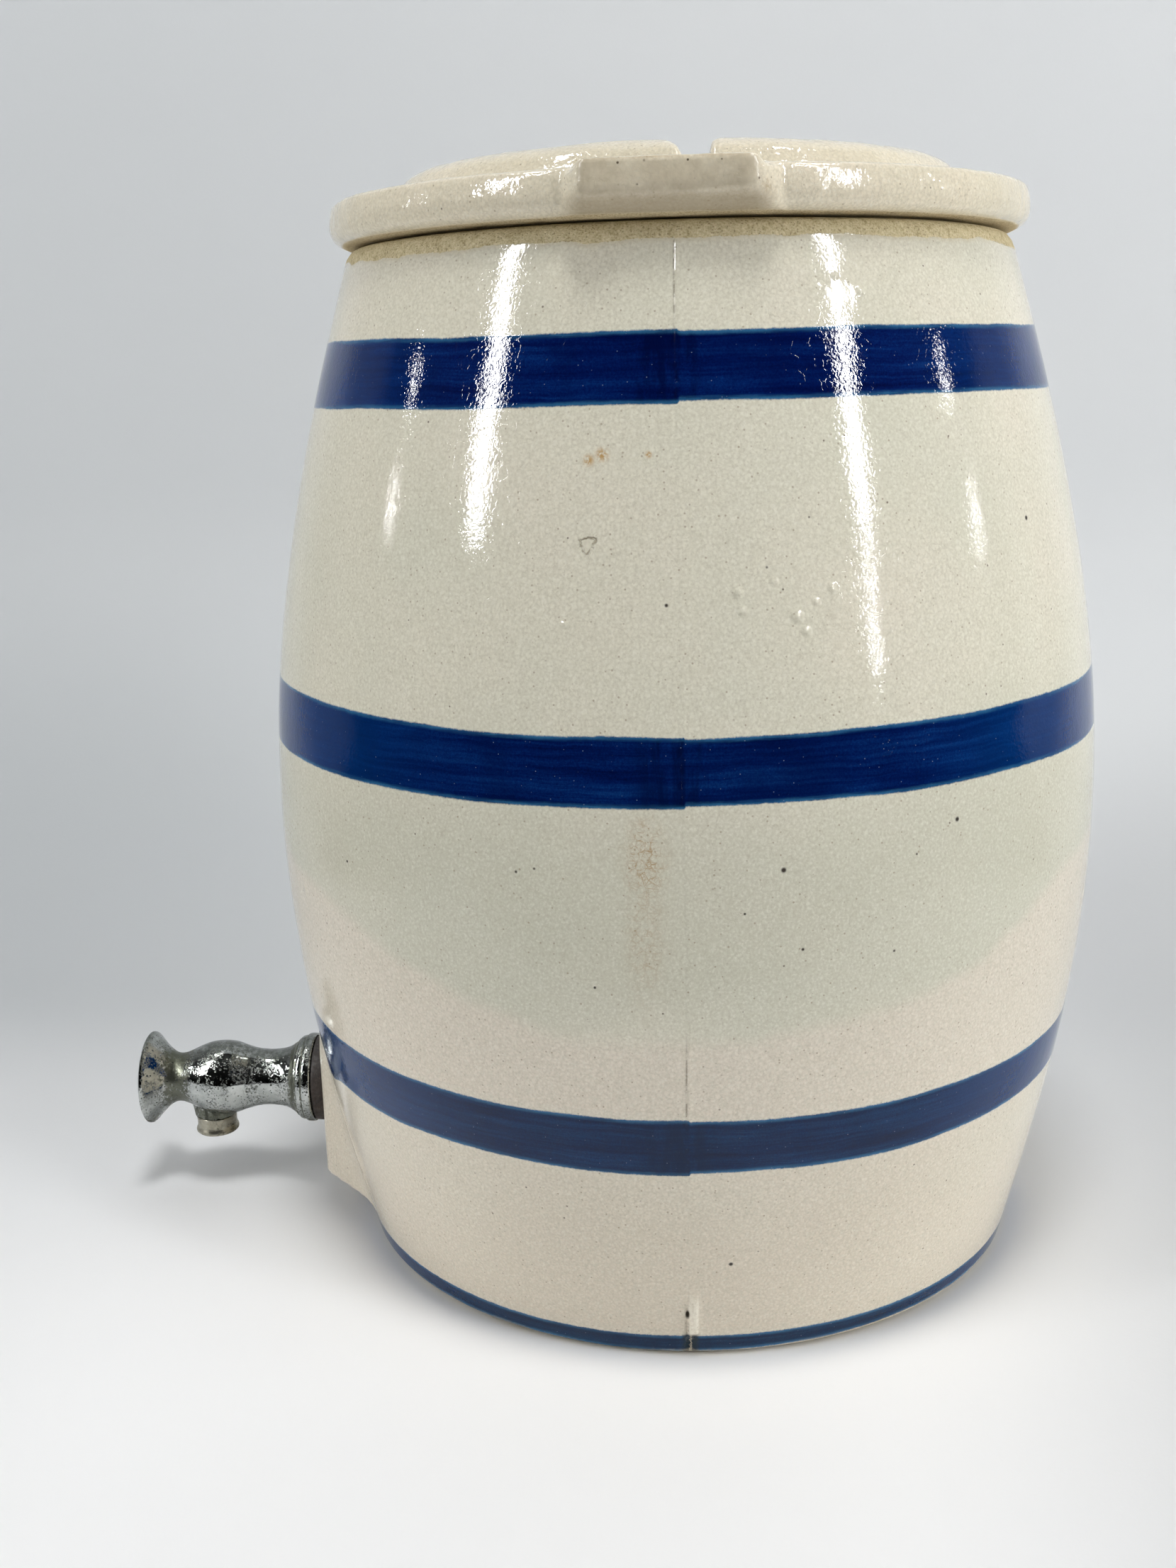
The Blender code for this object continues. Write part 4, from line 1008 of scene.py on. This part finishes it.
    # bare, sandy clay above the glaze line, at the foot and underneath
    edge = g.math("ADD", bare, g.math("MULTIPLY", g.math("SUBTRACT", g.noise(1.3, 3, 0.65), 0.5), 1.0))
    clay_on = g.fit(edge, -0.12, 0.22)
    grain = g.noise(0.6, 4, 0.7)
    coarse = g.noise(2.4, 3, 0.6)
    clay = g.ramp(g.math("ADD", g.math("MULTIPLY", grain, 0.6), g.math("MULTIPLY", coarse, 0.4)), [
        (0.34, (0.34, 0.262, 0.128)), (0.46, (0.54, 0.455, 0.265)), (0.58, (0.66, 0.57, 0.36)), (0.74, (0.80, 0.72, 0.51))])
    pits = g.cells(1.15)
    clay = g.mix(g.math("MULTIPLY", g.fit(pits["Distance"], 0.12, 0.26, 1, 0), 0.6), clay, (0.26, 0.19, 0.10))
    lip = g.math("MULTIPLY", g.fit(edge, -1.3, -0.2), g.math("SUBTRACT", 1.0, clay_on))
    colour = g.mix(g.math("MULTIPLY", lip, 0.35), colour, (0.62, 0.54, 0.38))
    colour = g.mix(clay_on, colour, clay)

    rough = g.fit(g.noise(9, 3, 0.6), 0.3, 0.75, 0.02, 0.045)
    rough = g.math("ADD", rough, g.math("MULTIPLY", crack, 0.12))
    rough = g.math("ADD", rough, g.math("MULTIPLY", line, 0.2))
    rough = g.mixf(clay_on, rough, 0.88)
    g.set(Base_Color=colour, Roughness=rough)
    g.bsdf.inputs["IOR"].default_value = 1.5
    g.bsdf.inputs["Specular IOR Level"].default_value = 0.29

    peel = g.math("ADD", g.math("MULTIPLY", g.noise(0.85, 2, 0.55), 0.022), g.math("MULTIPLY", g.noise(4.0, 2, 0.5), 0.045))
    peel = g.math("ADD", peel, g.math("MULTIPLY", pebble, 0.007))
    peel = g.math("SUBTRACT", peel, g.math("MULTIPLY", crack, 0.010))
    peel = g.math("SUBTRACT", peel, g.math("MULTIPLY", in_chip, 0.22))
    for turn, h, size, proud in MARKS:
        c, n = math.cos(math.radians(turn)), math.sin(math.radians(turn))
        if proud > 0:
            lump = g.fit(g.vec("DISTANCE", g.mm, (barrel(h) * c, barrel(h) * n, h)), 0.0, size * 1.15, proud, 0.0)
            peel = g.math("ADD", peel, lump)
    peel = g.math("ADD", peel, g.math("MULTIPLY", painted, 0.02))
    sandy = g.math("ADD", g.math("MULTIPLY", grain, 0.22), g.math("MULTIPLY", coarse, 0.20))
    sandy = g.math("SUBTRACT", sandy, g.math("MULTIPLY", g.fit(pits["Distance"], 0.10, 0.30, 1, 0), 0.12))
    g.bump(g.mixf(clay_on, peel, sandy))
    return g.material


def paint_lid():
    g = Paint("cream_glazed_lid")
    bend = g.attribute("bend")
    drift = g.noise(40, 3, 0.55)
    cream = g.ramp(drift, [(0.30, (0.71, 0.650, 0.505)), (0.5, (0.76, 0.690, 0.535)), (0.72, (0.80, 0.715, 0.56))])
    dress, crack, warp, pebble = glaze(g, 3.0, (0.64, 0.57, 0.44), 0.22)
    cream = dress(cream)

    # thin glaze breaks to brown on sharp edges
    ragged = g.math("MULTIPLY", g.math("SUBTRACT", g.noise(1.6, 4, 0.65), 0.5), 1.4)
    edge = g.fit(g.math("ADD", bend, ragged), 0.50, 1.3)
    cream = g.mix(g.math("MULTIPLY", edge, 0.50), cream, (0.50, 0.39, 0.235))
    # painted shade: hollows and creases are darkened
    hollow_shade = g.fit(g.math("ADD", bend, ragged), -0.35, -1.2, 0, 0.5)
    cream = g.mix(hollow_shade, cream, (0.44, 0.35, 0.23))

    # the tooled faces of the two lugs are thinner glazed and duller, and are also painted darker as shade
    far = g.math("ABSOLUTE", g.x)
    face = g.math("MULTIPLY", g.fit(far, 108.6, 109.4), g.fit(g.math("ADD", g.math("ABSOLUTE", g.math("ADD", g.y, 1.9)), g.math("MULTIPLY", g.math("SUBTRACT", g.noise(3.0, 3, 0.6), 0.5), 3.0)),
                                                                 21.0, 31.0, 1, 0))
    level = g.math("ADD", g.z, g.math("MULTIPLY", g.math("SUBTRACT", g.noise(4.5, 3, 0.6), 0.5), 2.6))
    upper = g.fit(level, 330.4, 331.9, 1, 0)
    lower = g.fit(level, 315.0, 317.0)
    face = g.math("MULTIPLY", face, g.math("MULTIPLY", upper, lower))
    thin_glaze_and_shade = g.ramp(g.noise(3.0, 4, 0.65), [(0.3, (0.41, 0.347, 0.242)), (0.52, (0.508, 0.442, 0.322)), (0.8, (0.62, 0.545, 0.41))])
    face = g.math("MULTIPLY", face, g.fit(g.noise(7, 3, 0.6), 0.34, 0.58, 0.45, 0.80))
    cream = g.mix(face, cream, thin_glaze_and_shade)
    # its turned-under foot is painted browner still, as shade under the lug
    turned_under_shade = g.math("MULTIPLY", g.fit(far, 92.0, 95.0), g.fit(g.math("ABSOLUTE", g.math("ADD", g.y, 1.9)), 21.0, 30.0, 1, 0))
    turned_under_shade = g.math("MULTIPLY", turned_under_shade, g.fit(level, 326.0, 321.0))
    cream = g.mix(g.math("MULTIPLY", turned_under_shade, 0.70), cream, (0.33, 0.262, 0.170))
    # underside and spigot: bare clay where the lid stood in the kiln
    under = g.fit(g.z, 318.9, 319.5, 1, 0)
    outer = g.math("MAXIMUM", g.fit(g.z, 323.4, 324.3, 1, 0), 0.0)
    seat = g.fit(g.vec("LENGTH", g.stretch(1, 1, 0)), 84.0, 84.8)
    grain = g.noise(0.6, 4, 0.7)
    clay = g.ramp(grain, [(0.34, (0.34, 0.255, 0.14)), (0.52, (0.58, 0.48, 0.30)), (0.72, (0.70, 0.61, 0.41))])
    bare = g.math("MULTIPLY", g.math("MULTIPLY", under, outer), seat)
    colour = g.mix(bare, cream, clay)
    for x, y, z, size in ((109.4, -7.5, 330.7, 0.5), (109.6, 11.5, 330.5, 0.32), (110.0, -9.3, 325.2, 0.42),
                          (109.9, 3.2, 330.6, 0.32), (110.0, -13.4, 321.6, 0.35), (109.7, -14.0, 330.4, 0.35),
                          (-109.6, 6.0, 329.8, 0.5), (-109.8, -9.0, 327.0, 0.4)):
        colour = g.mix(g.near(x, y, z, size * 0.55, size * 1.25), colour, (0.11, 0.085, 0.06))
    stain = g.math("MULTIPLY", g.near(107.6, 23.4, 324.6, 0.4, 3.0), g.fit(g.noise(1.0, 3, 0.6), 0.42, 0.60))
    colour = g.mix(g.math("MULTIPLY", stain, 0.5), colour, (0.36, 0.25, 0.12))

    rough = g.fit(g.noise(7, 3, 0.6), 0.3, 0.75, 0.025, 0.06)
    rough = g.mixf(face, rough, 0.36)
    rough = g.mixf(bare, rough, 0.88)
    g.set(Base_Color=colour, Roughness=rough)
    g.bsdf.inputs["IOR"].default_value = 1.5
    g.bsdf.inputs["Specular IOR Level"].default_value = 0.29
    peel = g.math("ADD", g.math("MULTIPLY", g.noise(1.5, 2, 0.55), 0.050), g.math("MULTIPLY", g.noise(4.2, 2, 0.5), 0.26))
    peel = g.math("ADD", peel, g.math("MULTIPLY", pebble, 0.008))
    peel = g.math("SUBTRACT", peel, g.math("MULTIPLY", crack, 0.012))
    peel = g.math("ADD", peel, g.math("MULTIPLY", g.math("MULTIPLY", grain, bare), 0.2))
    g.bump(peel)
    return g.material


def paint_plating():
    g = Paint("pitted_plating")
    cloud = g.noise(5.0, 4, 0.6)
    bright = g.ramp(cloud, [(0.3, (0.33, 0.35, 0.335)), (0.55, (0.48, 0.50, 0.485)), (0.8, (0.64, 0.66, 0.64))])
    # pits in loose crowds, of two sizes
    pits = g.cells(0.95)
    crowd = g.fit(g.noise(3.6, 3, 0.6), 0.40, 0.56)
    pit = g.math("MULTIPLY", g.fit(pits["Distance"], 0.16, 0.38, 1, 0), crowd)
    big = g.cells(2.1)
    bigpit = g.math("MULTIPLY", g.fit(big["Distance"], 0.12, 0.26, 1, 0), g.fit(g.noise(6.0, 2, 0.5), 0.44, 0.56))
    smear = g.math("MULTIPLY", g.fit(g.noise(0.8, 4, 0.7), 0.48, 0.62), g.fit(g.noise(6.5, 3, 0.55), 0.42, 0.60))
    worn = g.math("MAXIMUM", g.math("MAXIMUM", pit, bigpit), g.math("MULTIPLY", smear, 0.8))
    # olive dirt in the necks and round the spout's boss, and the same darkening along the low underside
    y = g.y
    necks = g.math("MAXIMUM", g.fit(g.math("ABSOLUTE", g.math("ADD", y, 180.2)), 1.0, 7.5, 1, 0),
                   g.math("MAXIMUM", g.fit(g.math("ABSOLUTE", g.math("ADD", y, 137.6)), 0.3, 2.4, 1, 0),
                          g.fit(g.math("ABSOLUTE", g.math("ADD", y, 134.1)), 0.1, 0.6, 1, 0)))
    flat = g.combine(g.x, y, 0.0)
    boss = g.math("MULTIPLY", g.fit(g.vec("DISTANCE", flat, (0.0, -168.8, 0.0)), 6.6, 11.5, 1, 0), g.fit(g.z, 26.5, 30.5, 1, 0))
    low = g.fit(g.z, 24.5, 31.0, 0.75, 0)
    facing = g.tree.nodes.new("ShaderNodeTexCoord")
    upright = g.tree.nodes.new("ShaderNodeSeparateXYZ")
    g.put(upright.inputs[0], facing.outputs["Normal"])
    above, below = g.fit(upright.outputs[2], 0.45, 0.92), g.fit(upright.outputs[2], -0.35, -0.9)
    # painted reflection: faces turned up and down are darkened, the upper ones most
    facing_dark_reflection = g.math("MULTIPLY", g.math("MAXIMUM", g.math("MULTIPLY", above, 0.86), g.math("MULTIPLY", below, 0.55)),
                  g.fit(g.noise(2.2, 4, 0.65), 0.30, 0.62, 0.45, 1.0))
    bright = g.mix(facing_dark_reflection, bright, (0.095, 0.103, 0.088))
    necks_boss_underside = g.math("MAXIMUM", g.math("MAXIMUM", necks, boss), low)
    dirt_and_underside = g.fit(g.math("ADD", g.noise(1.4, 4, 0.65), g.math("MULTIPLY", necks_boss_underside, 0.30)), 0.56, 0.74)
    dirt_and_underside = g.math("MULTIPLY", dirt_and_underside, g.fit(necks_boss_underside, 0.0, 0.35))
    colour = g.mix(g.math("MULTIPLY", worn, 0.9), bright, (0.055, 0.062, 0.048))
    colour = g.mix(g.math("MULTIPLY", dirt_and_underside, 0.85), colour, (0.085, 0.09, 0.058))
    # the bore and the shank's thread show plain brass
    brass = g.fit(y, -130.6, -129.6)
    brassy = g.ramp(g.noise(1.6, 4, 0.6), [(0.3, (0.36, 0.24, 0.09)), (0.6, (0.60, 0.43, 0.18)), (0.8, (0.68, 0.52, 0.26))])
    colour = g.mix(brass, colour, brassy)
    rough = g.fit(g.noise(2.5, 4, 0.6), 0.3, 0.75, 0.04, 0.12)
    rough = g.mixf(g.math("MULTIPLY", worn, 0.9), rough, 0.5)
    rough = g.mixf(g.math("MULTIPLY", dirt_and_underside, 0.8), rough, 0.34)
    rough = g.mixf(g.math("MULTIPLY", brass, 0.8), rough, 0.38)
    metal = g.math("SUBTRACT", 1.0, g.math("MULTIPLY", g.math("MAXIMUM", worn, dirt_and_underside), 0.25))
    g.set(Base_Color=colour, Roughness=rough, Metallic=metal)
    height = g.math("SUBTRACT", g.math("MULTIPLY", g.noise(3.0, 3, 0.5), 0.06), g.math("MULTIPLY", worn, 0.045))
    blister = g.cells(4.3)
    height = g.math("ADD", height, g.math("MULTIPLY", g.fit(blister["Distance"], 0.05, 0.13, 1, 0), 0.10))
    g.bump(height)
    return g.material


def paint_metal(name, dark, mid, light, tarnish, rough_lo, rough_hi, grain=1.2, axis=None):
    """Turned or drawn metal with fine tool marks and tarnish."""
    g = Paint(name)
    cloud = g.noise(grain * 3, 4, 0.6)
    colour = g.ramp(cloud, [(0.28, dark), (0.52, mid), (0.78, light)])
    spots = g.math("MULTIPLY", g.fit(g.noise(grain * 0.7, 4, 0.65), 0.52, 0.66), g.fit(g.noise(grain * 5, 2, 0.5), 0.4, 0.65))
    colour = g.mix(g.math("MULTIPLY", spots, 0.8), colour, tarnish)
    lines = g.noise(1.0, 3, 0.6, source=g.stretch(*(axis or (1 / 3, 1 / 0.12, 1 / 3))))
    rough = g.fit(g.math("ADD", g.math("MULTIPLY", cloud, 0.5), g.math("MULTIPLY", lines, 0.5)), 0.3, 0.7, rough_lo, rough_hi)
    rough = g.mixf(spots, rough, 0.6)
    metal = g.math("SUBTRACT", 1.0, g.math("MULTIPLY", spots, 0.3))
    g.set(Base_Color=colour, Roughness=rough, Metallic=metal)
    g.bump(g.math("SUBTRACT", g.math("MULTIPLY", lines, 0.012), g.math("MULTIPLY", spots, 0.02)))
    return g.material


def paint_rubber(name, dark, light, rough_lo=0.5, rough_hi=0.8):
    g = Paint(name)
    cloud = g.noise(4.0, 4, 0.6)
    colour = g.ramp(cloud, [(0.3, dark), (0.75, light)])
    bloom = g.math("MULTIPLY", g.fit(g.noise(0.8, 4, 0.7), 0.5, 0.72), 0.35)
    colour = g.mix(bloom, colour, tuple(min(1, c * 2.6 + 0.01) for c in light))
    rough = g.fit(g.noise(1.5, 3, 0.6), 0.3, 0.7, rough_lo, rough_hi)
    g.set(Base_Color=colour, Roughness=rough)
    g.bump(g.math("ADD", g.math("MULTIPLY", g.noise(0.5, 3, 0.6), 0.03), g.math("MULTIPLY", g.noise(2.5, 2, 0.5), 0.05)))
    return g.material


# ====================================================================== dress up
def wear(ob, material):
    ob.data.materials.clear()
    ob.data.materials.append(material)


def dress_node(name, material):
    for s in NODES[name].material_slots:
        s.material = material


crock = make_crock()
wear(crock, paint_crock())
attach(crock, "pot")
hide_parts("crock")

lid = make_lid()
wear(lid, paint_lid())
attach(lid, "lid")
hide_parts("lid")

tap = make_tap()
wear(tap, paint_plating())
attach(tap, "pot")
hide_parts("tap_body")

spout = make_spout()
wear(spout, paint_metal("worn_spout_brass", (0.20, 0.19, 0.15), (0.36, 0.34, 0.27), (0.50, 0.48, 0.40),
                        (0.07, 0.07, 0.045), 0.22, 0.42, 1.4, (1 / 3, 1 / 3, 1 / 0.25)))
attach(spout, "pot")
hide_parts("spout_tube")

gasket = make_gasket("outer_rubber_ring", 9.5, 15.2, -130.5, -125.8, 91)
wear(gasket, paint_rubber("perished_brown_rubber", (0.018, 0.012, 0.009), (0.045, 0.030, 0.022)))
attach(gasket, "pot")
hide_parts("outer_gasket")

button = make_button()
wear(button, paint_metal("button_plating", (0.52, 0.53, 0.53), (0.68, 0.69, 0.69), (0.78, 0.78, 0.78),
                         (0.12, 0.12, 0.09), 0.08, 0.22, 1.0))
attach(button, "plunger")
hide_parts("push_button")

dress_node("inner_gasket", paint_rubber("inner_gasket_rubber", (0.020, 0.015, 0.012), (0.050, 0.036, 0.028)))
dress_node("stem_seal", paint_rubber("stem_seal_rubber", (0.010, 0.010, 0.010), (0.030, 0.028, 0.026)))
dress_node("valve_disc", paint_rubber("valve_disc_rubber", (0.012, 0.012, 0.012), (0.035, 0.033, 0.030)))
BRASS = ((0.40, 0.27, 0.10), (0.62, 0.45, 0.19), (0.72, 0.56, 0.28), (0.13, 0.10, 0.05))
dress_node("clamp_washer", paint_metal("washer_brass", *BRASS, 0.25, 0.45, 1.1))
dress_node("lock_nut", paint_metal("nut_brass", *BRASS, 0.28, 0.5, 1.6))
dress_node("valve_stem", paint_metal("stem_brass", *BRASS, 0.16, 0.34, 0.7))
dress_node("valve_cup", paint_metal("valve_cup_brass", *BRASS, 0.22, 0.4, 0.9))
dress_node("valve_nut", paint_metal("valve_nut_brass", *BRASS, 0.25, 0.45, 0.7))
dress_node("gland_washer", paint_metal("gland_washer_brass", *BRASS, 0.22, 0.42, 0.6))

# the return spring, one fixed mesh at rest: its front coil at the button, its back coil on the washer
spring = make_spring()
wear(spring, paint_metal("spring_steel", (0.30, 0.30, 0.31), (0.46, 0.46, 0.47), (0.60, 0.60, 0.60),
                         (0.16, 0.10, 0.06), 0.2, 0.4, 0.5))
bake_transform(spring)
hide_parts("return_spring")


# ========================================================================= stage
def paint_paper(name, rgb, see_through_behind=False):
    g = Paint(name)
    soft = g.noise(160, 2, 0.5)
    tint = g.ramp(soft, [(0.3, tuple(c * 0.985 for c in rgb)), (0.7, rgb)])
    if see_through_behind:
        # painted shade: the paper is darkened where it bends up, more so on the left
        up = g.fit(g.math("SUBTRACT", g.z, g.math("MULTIPLY", g.x, 0.9)), 90, 330, 0.0, 1.0)
        left = g.fit(g.y, 120, -420, 0.0, 1.0)
        tint = g.mix(g.math("MULTIPLY", up, g.math("ADD", g.math("MULTIPLY", left, 0.32), 0.26)), tint, (0.45, 0.475, 0.49))
        bend = g.math("MULTIPLY", g.fit(g.x, -60, -190), g.fit(g.z, 60, 200, 1, 0))
        tint = g.mix(g.math("MULTIPLY", bend, g.math("ADD", g.math("MULTIPLY", left, 0.55), 0.10)), tint, (0.45, 0.475, 0.49))
        # painted light: the paper is made brighter round the front and left of the pot
        near = g.math("MULTIPLY", g.fit(g.x, -110, 100), g.fit(g.y, 40, 240, 1.0, 0.10))
        near = g.math("MULTIPLY", near, g.fit(g.y, -330, -150, 0.35, 1.0))
        tint = g.mix(near, tint, (0.94, 0.945, 0.95))
        # painted shade: darker low on the right
        painted_dim_right = g.math("MULTIPLY", g.fit(g.y, 40, 230, 0.0, 0.46), g.fit(g.z, 20, 110, 1.0, 0.0))
        tint = g.mix(painted_dim_right, tint, (0.45, 0.46, 0.47))
        # painted shade: darker far out to either side
        tint = g.mix(g.fit(g.math("ABSOLUTE", g.y), 430, 900, 0.0, 0.9), tint, (0.15, 0.155, 0.16))
    g.set(Base_Color=tint, Roughness=0.75)
    g.bsdf.inputs["Specular IOR Level"].default_value = 0.25
    g.bump(g.math("MULTIPLY", g.noise(1.2, 3, 0.6), 0.03))
    if see_through_behind:
        geo = g.tree.nodes.new("ShaderNodeNewGeometry")
        clear = g.tree.nodes.new("ShaderNodeBsdfTransparent")
        mix = g.tree.nodes.new("ShaderNodeMixShader")
        g.tree.links.new(geo.outputs["Backfacing"], mix.inputs[0])
        g.tree.links.new(g.bsdf.outputs[0], mix.inputs[1])
        g.tree.links.new(clear.outputs[0], mix.inputs[2])
        g.tree.links.new(mix.outputs[0], g.out.inputs["Surface"])
    return g.material


def make_stage():
    floor = build("floor", [(-6000, -6000, -0.45), (6000, -6000, -0.45), (6000, 6000, -0.45), (-6000, 6000, -0.45)],
                  [(0, 1, 2, 3)])
    wear(floor, paint_paper("pale_floor", (0.83, 0.84, 0.85)))
    floor.visible_glossy = False
    line = [(345, -0.35), (-150, -0.35)]
    for a in np.radians(np.arange(4, 91, 4)):
        line.append((-150 - 230 * math.sin(a), 230 - 230 * math.cos(a)))
    line += [(-380, 1500), (-380, 2600)]
    line = np.array(line)
    ys = np.concatenate([[-2600, -1700, -1000], np.linspace(-500, 500, 3), [1000, 1700, 2600]])
    pts = np.array([(x, y, z) for y in ys for x, z in line])
    n = len(line)
    faces = [(i * n + j, i * n + j + 1, (i + 1) * n + j + 1, (i + 1) * n + j)
             for i in range(8) for j in range(n - 1) if j > 0 or 3 <= i < 5]
    sweep = build("paper_sweep", pts, faces)
    if sweep.data.polygons[0].normal.z < 0:  # its front faces the pot
        sweep.data.flip_normals()
    wear(sweep, paint_paper("pale_paper", (0.715, 0.728, 0.74), True))


make_stage()

world = bpy.data.worlds.new("studio")
bpy.context.scene.world = world
world.use_nodes = True
wt = world.node_tree
wt.nodes.clear()
w_out = wt.nodes.new("ShaderNodeOutputWorld")
w_bg = wt.nodes.new("ShaderNodeBackground")
w_co = wt.nodes.new("ShaderNodeTexCoord")
w_sep = wt.nodes.new("ShaderNodeSeparateXYZ")
w_ramp = wt.nodes.new("ShaderNodeValToRGB")
w_map = wt.nodes.new("ShaderNodeMapRange")
wt.links.new(w_co.outputs["Generated"], w_sep.inputs[0])
wt.links.new(w_sep.outputs["Z"], w_map.inputs["Value"])
w_map.inputs["From Min"].default_value = -1.0
w_map.inputs["From Max"].default_value = 1.0
wt.links.new(w_map.outputs[0], w_ramp.inputs[0])
els = w_ramp.color_ramp.elements
els[0].position, els[0].color = 0.47, (0.02, 0.02, 0.02, 1)
els[1].position, els[1].color = 0.56, (0.20, 0.205, 0.21, 1)
for p, v in ((0.66, 0.34), (0.80, 0.60), (1.0, 0.75)):
    e = els.new(p)
    e.color = (v * 0.98, v, v * 1.02, 1)
# the room is dark on the side that the picture is taken from
w_front = wt.nodes.new("ShaderNodeMapRange")
w_front.interpolation_type = "SMOOTHSTEP"
wt.links.new(w_sep.outputs["X"], w_front.inputs["Value"])
w_front.inputs["From Min"].default_value = 0.1
w_front.inputs["From Max"].default_value = 0.75
w_front.inputs["To Min"].default_value = 1.0
w_front.inputs["To Max"].default_value = 0.12
w_mul = wt.nodes.new("ShaderNodeMix")
w_mul.data_type, w_mul.blend_type = "RGBA", "MULTIPLY"
w_mul.inputs["Factor"].default_value = 1.0
wt.links.new(w_ramp.outputs[0], w_mul.inputs[6])
wt.links.new(w_front.outputs[0], w_mul.inputs[7])
wt.links.new(w_mul.outputs[2], w_bg.inputs["Color"])
w_bg.inputs["Strength"].default_value = 0.13
wt.links.new(w_bg.outputs[0], w_out.inputs["Surface"])


def lamp(name, place, aim, size_x, size_y, watts, tint=(1, 1, 1), diffuse=True, glossy=True):
    data = bpy.data.lights.new(name, "AREA")
    data.shape = "RECTANGLE"
    data.size, data.size_y = size_x, size_y
    data.energy = watts
    data.color = tint
    ob = bpy.data.objects.new(name, data)
    bpy.context.scene.collection.objects.link(ob)
    d = Vector(aim) - Vector(place)
    z = -d.normalized()
    up = Vector((0, 0, 1)) if abs(z.z) < 0.99 else Vector((0, 1, 0))
    x = up.cross(z).normalized()
    y = z.cross(x)
    ob.matrix_world = Matrix.Translation(place) @ Matrix((x, y, z)).transposed().to_4x4()
    ob.visible_camera = False
    ob.visible_diffuse = diffuse
    ob.visible_glossy = glossy
    return ob


def strip(name, az0, el0, az1, el1, width_deg, distance, radiance, diffuse=True, glossy=True, aim=(0.1, 0, 0.2)):
    """A tall soft strip light, seen from the pot between two directions: its foot and its head."""
    ends = []
    for az, el in ((math.radians(az0), math.radians(el0)), (math.radians(az1), math.radians(el1))):
        ends.append(Vector(aim) + distance * Vector((math.cos(az), math.sin(az), math.tan(el))))
    tall = ends[1] - ends[0]
    w = 2 * distance * math.tan(math.radians(width_deg / 2))
    middle = (ends[0] + ends[1]) / 2
    ob = lamp(name, middle, (aim[0], aim[1], middle.z), w, tall.length, radiance * math.pi * w * tall.length,
              diffuse=diffuse, glossy=glossy)
    y = tall.normalized()
    z = (middle - Vector((aim[0], aim[1], middle.z)))
    z = (z - z.dot(y) * y).normalized()
    ob.matrix_world = Matrix.Translation(middle) @ Matrix((y.cross(z), y, z)).transposed().to_4x4()
    return ob


lamp("overhead_soft_light", (0.42, 0.02, 1.75), (0.0, 0.0, 0.0), 0.34, 0.34, 12.2, glossy=False)
lamp("right_soft_light", (0.45, 1.8, 0.32), (0.0, 0.0, 0.20), 1.1, 0.5, 19.5, glossy=False)
lamp("left_soft_light", (0.60, -1.8, 0.30), (0.0, 0.0, 0.20), 1.1, 0.4, 9.5, glossy=False)
# each strip has a soft part that lights and a bright part that only shows in the glaze
strip("left_strip_light", -60.0, 16.5, -63.5, 62, 8.0, 2.4, 7.1, glossy=False)
strip("right_strip_light", 54.3, 17.3, 57.5, 62, 8.0, 2.4, 7.5, glossy=False)
strip("left_strip", -60.0, 16.5, -63.5, 62, 4.9, 2.1, 66, diffuse=False)
strip("right_strip", 54.3, 17.3, 57.5, 62, 4.1, 2.1, 66, diffuse=False)
strip("right_strip_tail", 53.4, 3, 54.5, 17.3, 1.2, 2.1, 70, diffuse=False)
strip("left_window_low", -91.5, 11, -91.5, 15, 0.7, 2.4, 80, diffuse=False)
strip("left_window_high", -91.0, 19.5, -91.0, 22, 0.9, 2.4, 90, diffuse=False)
strip("right_window_low", 91.5, 9, 91.5, 13.5, 0.7, 2.4, 80, diffuse=False)
strip("right_window_high", 89.5, 19, 89.5, 22.5, 0.9, 2.4, 90, diffuse=False)
lamp("left_ceiling_panel", (-0.15, -0.80, 2.17), (0.07, 0.0, 0.335), 0.30, 0.20, 9, diffuse=False)
lamp("right_ceiling_panel", (-0.15, 0.80, 2.17), (0.07, 0.0, 0.335), 0.30, 0.20, 9, diffuse=False)

# ======================================================================== camera
cam_data = bpy.data.cameras.new("camera")
cam = bpy.data.objects.new("camera", cam_data)
bpy.context.scene.collection.objects.link(cam)
cam_data.sensor_width = 36.0
cam_data.sensor_fit = "AUTO"
cam_data.lens = 37.616
cam_data.clip_start, cam_data.clip_end = 0.01, 50
yaw, pitch, roll = (math.radians(v) for v in (-3.3657, 14.2433, -1.4410))
fwd = Vector((-math.cos(yaw) * math.cos(pitch), math.sin(yaw) * math.cos(pitch), -math.sin(pitch)))
level = Vector((math.sin(yaw), math.cos(yaw), 0))
upright = level.cross(fwd)
right = math.cos(roll) * level + math.sin(roll) * upright
up = -math.sin(roll) * level + math.cos(roll) * upright
cam.matrix_world = Matrix.Translation((0.53659, 0.0, 0.28178)) @ Matrix((right, up, -fwd)).transposed().to_4x4()
bpy.context.scene.camera = cam

view = bpy.context.scene.view_settings
view.view_transform = "Standard"
view.look = "None"
view.exposure = 0.0
view.gamma = 1.0
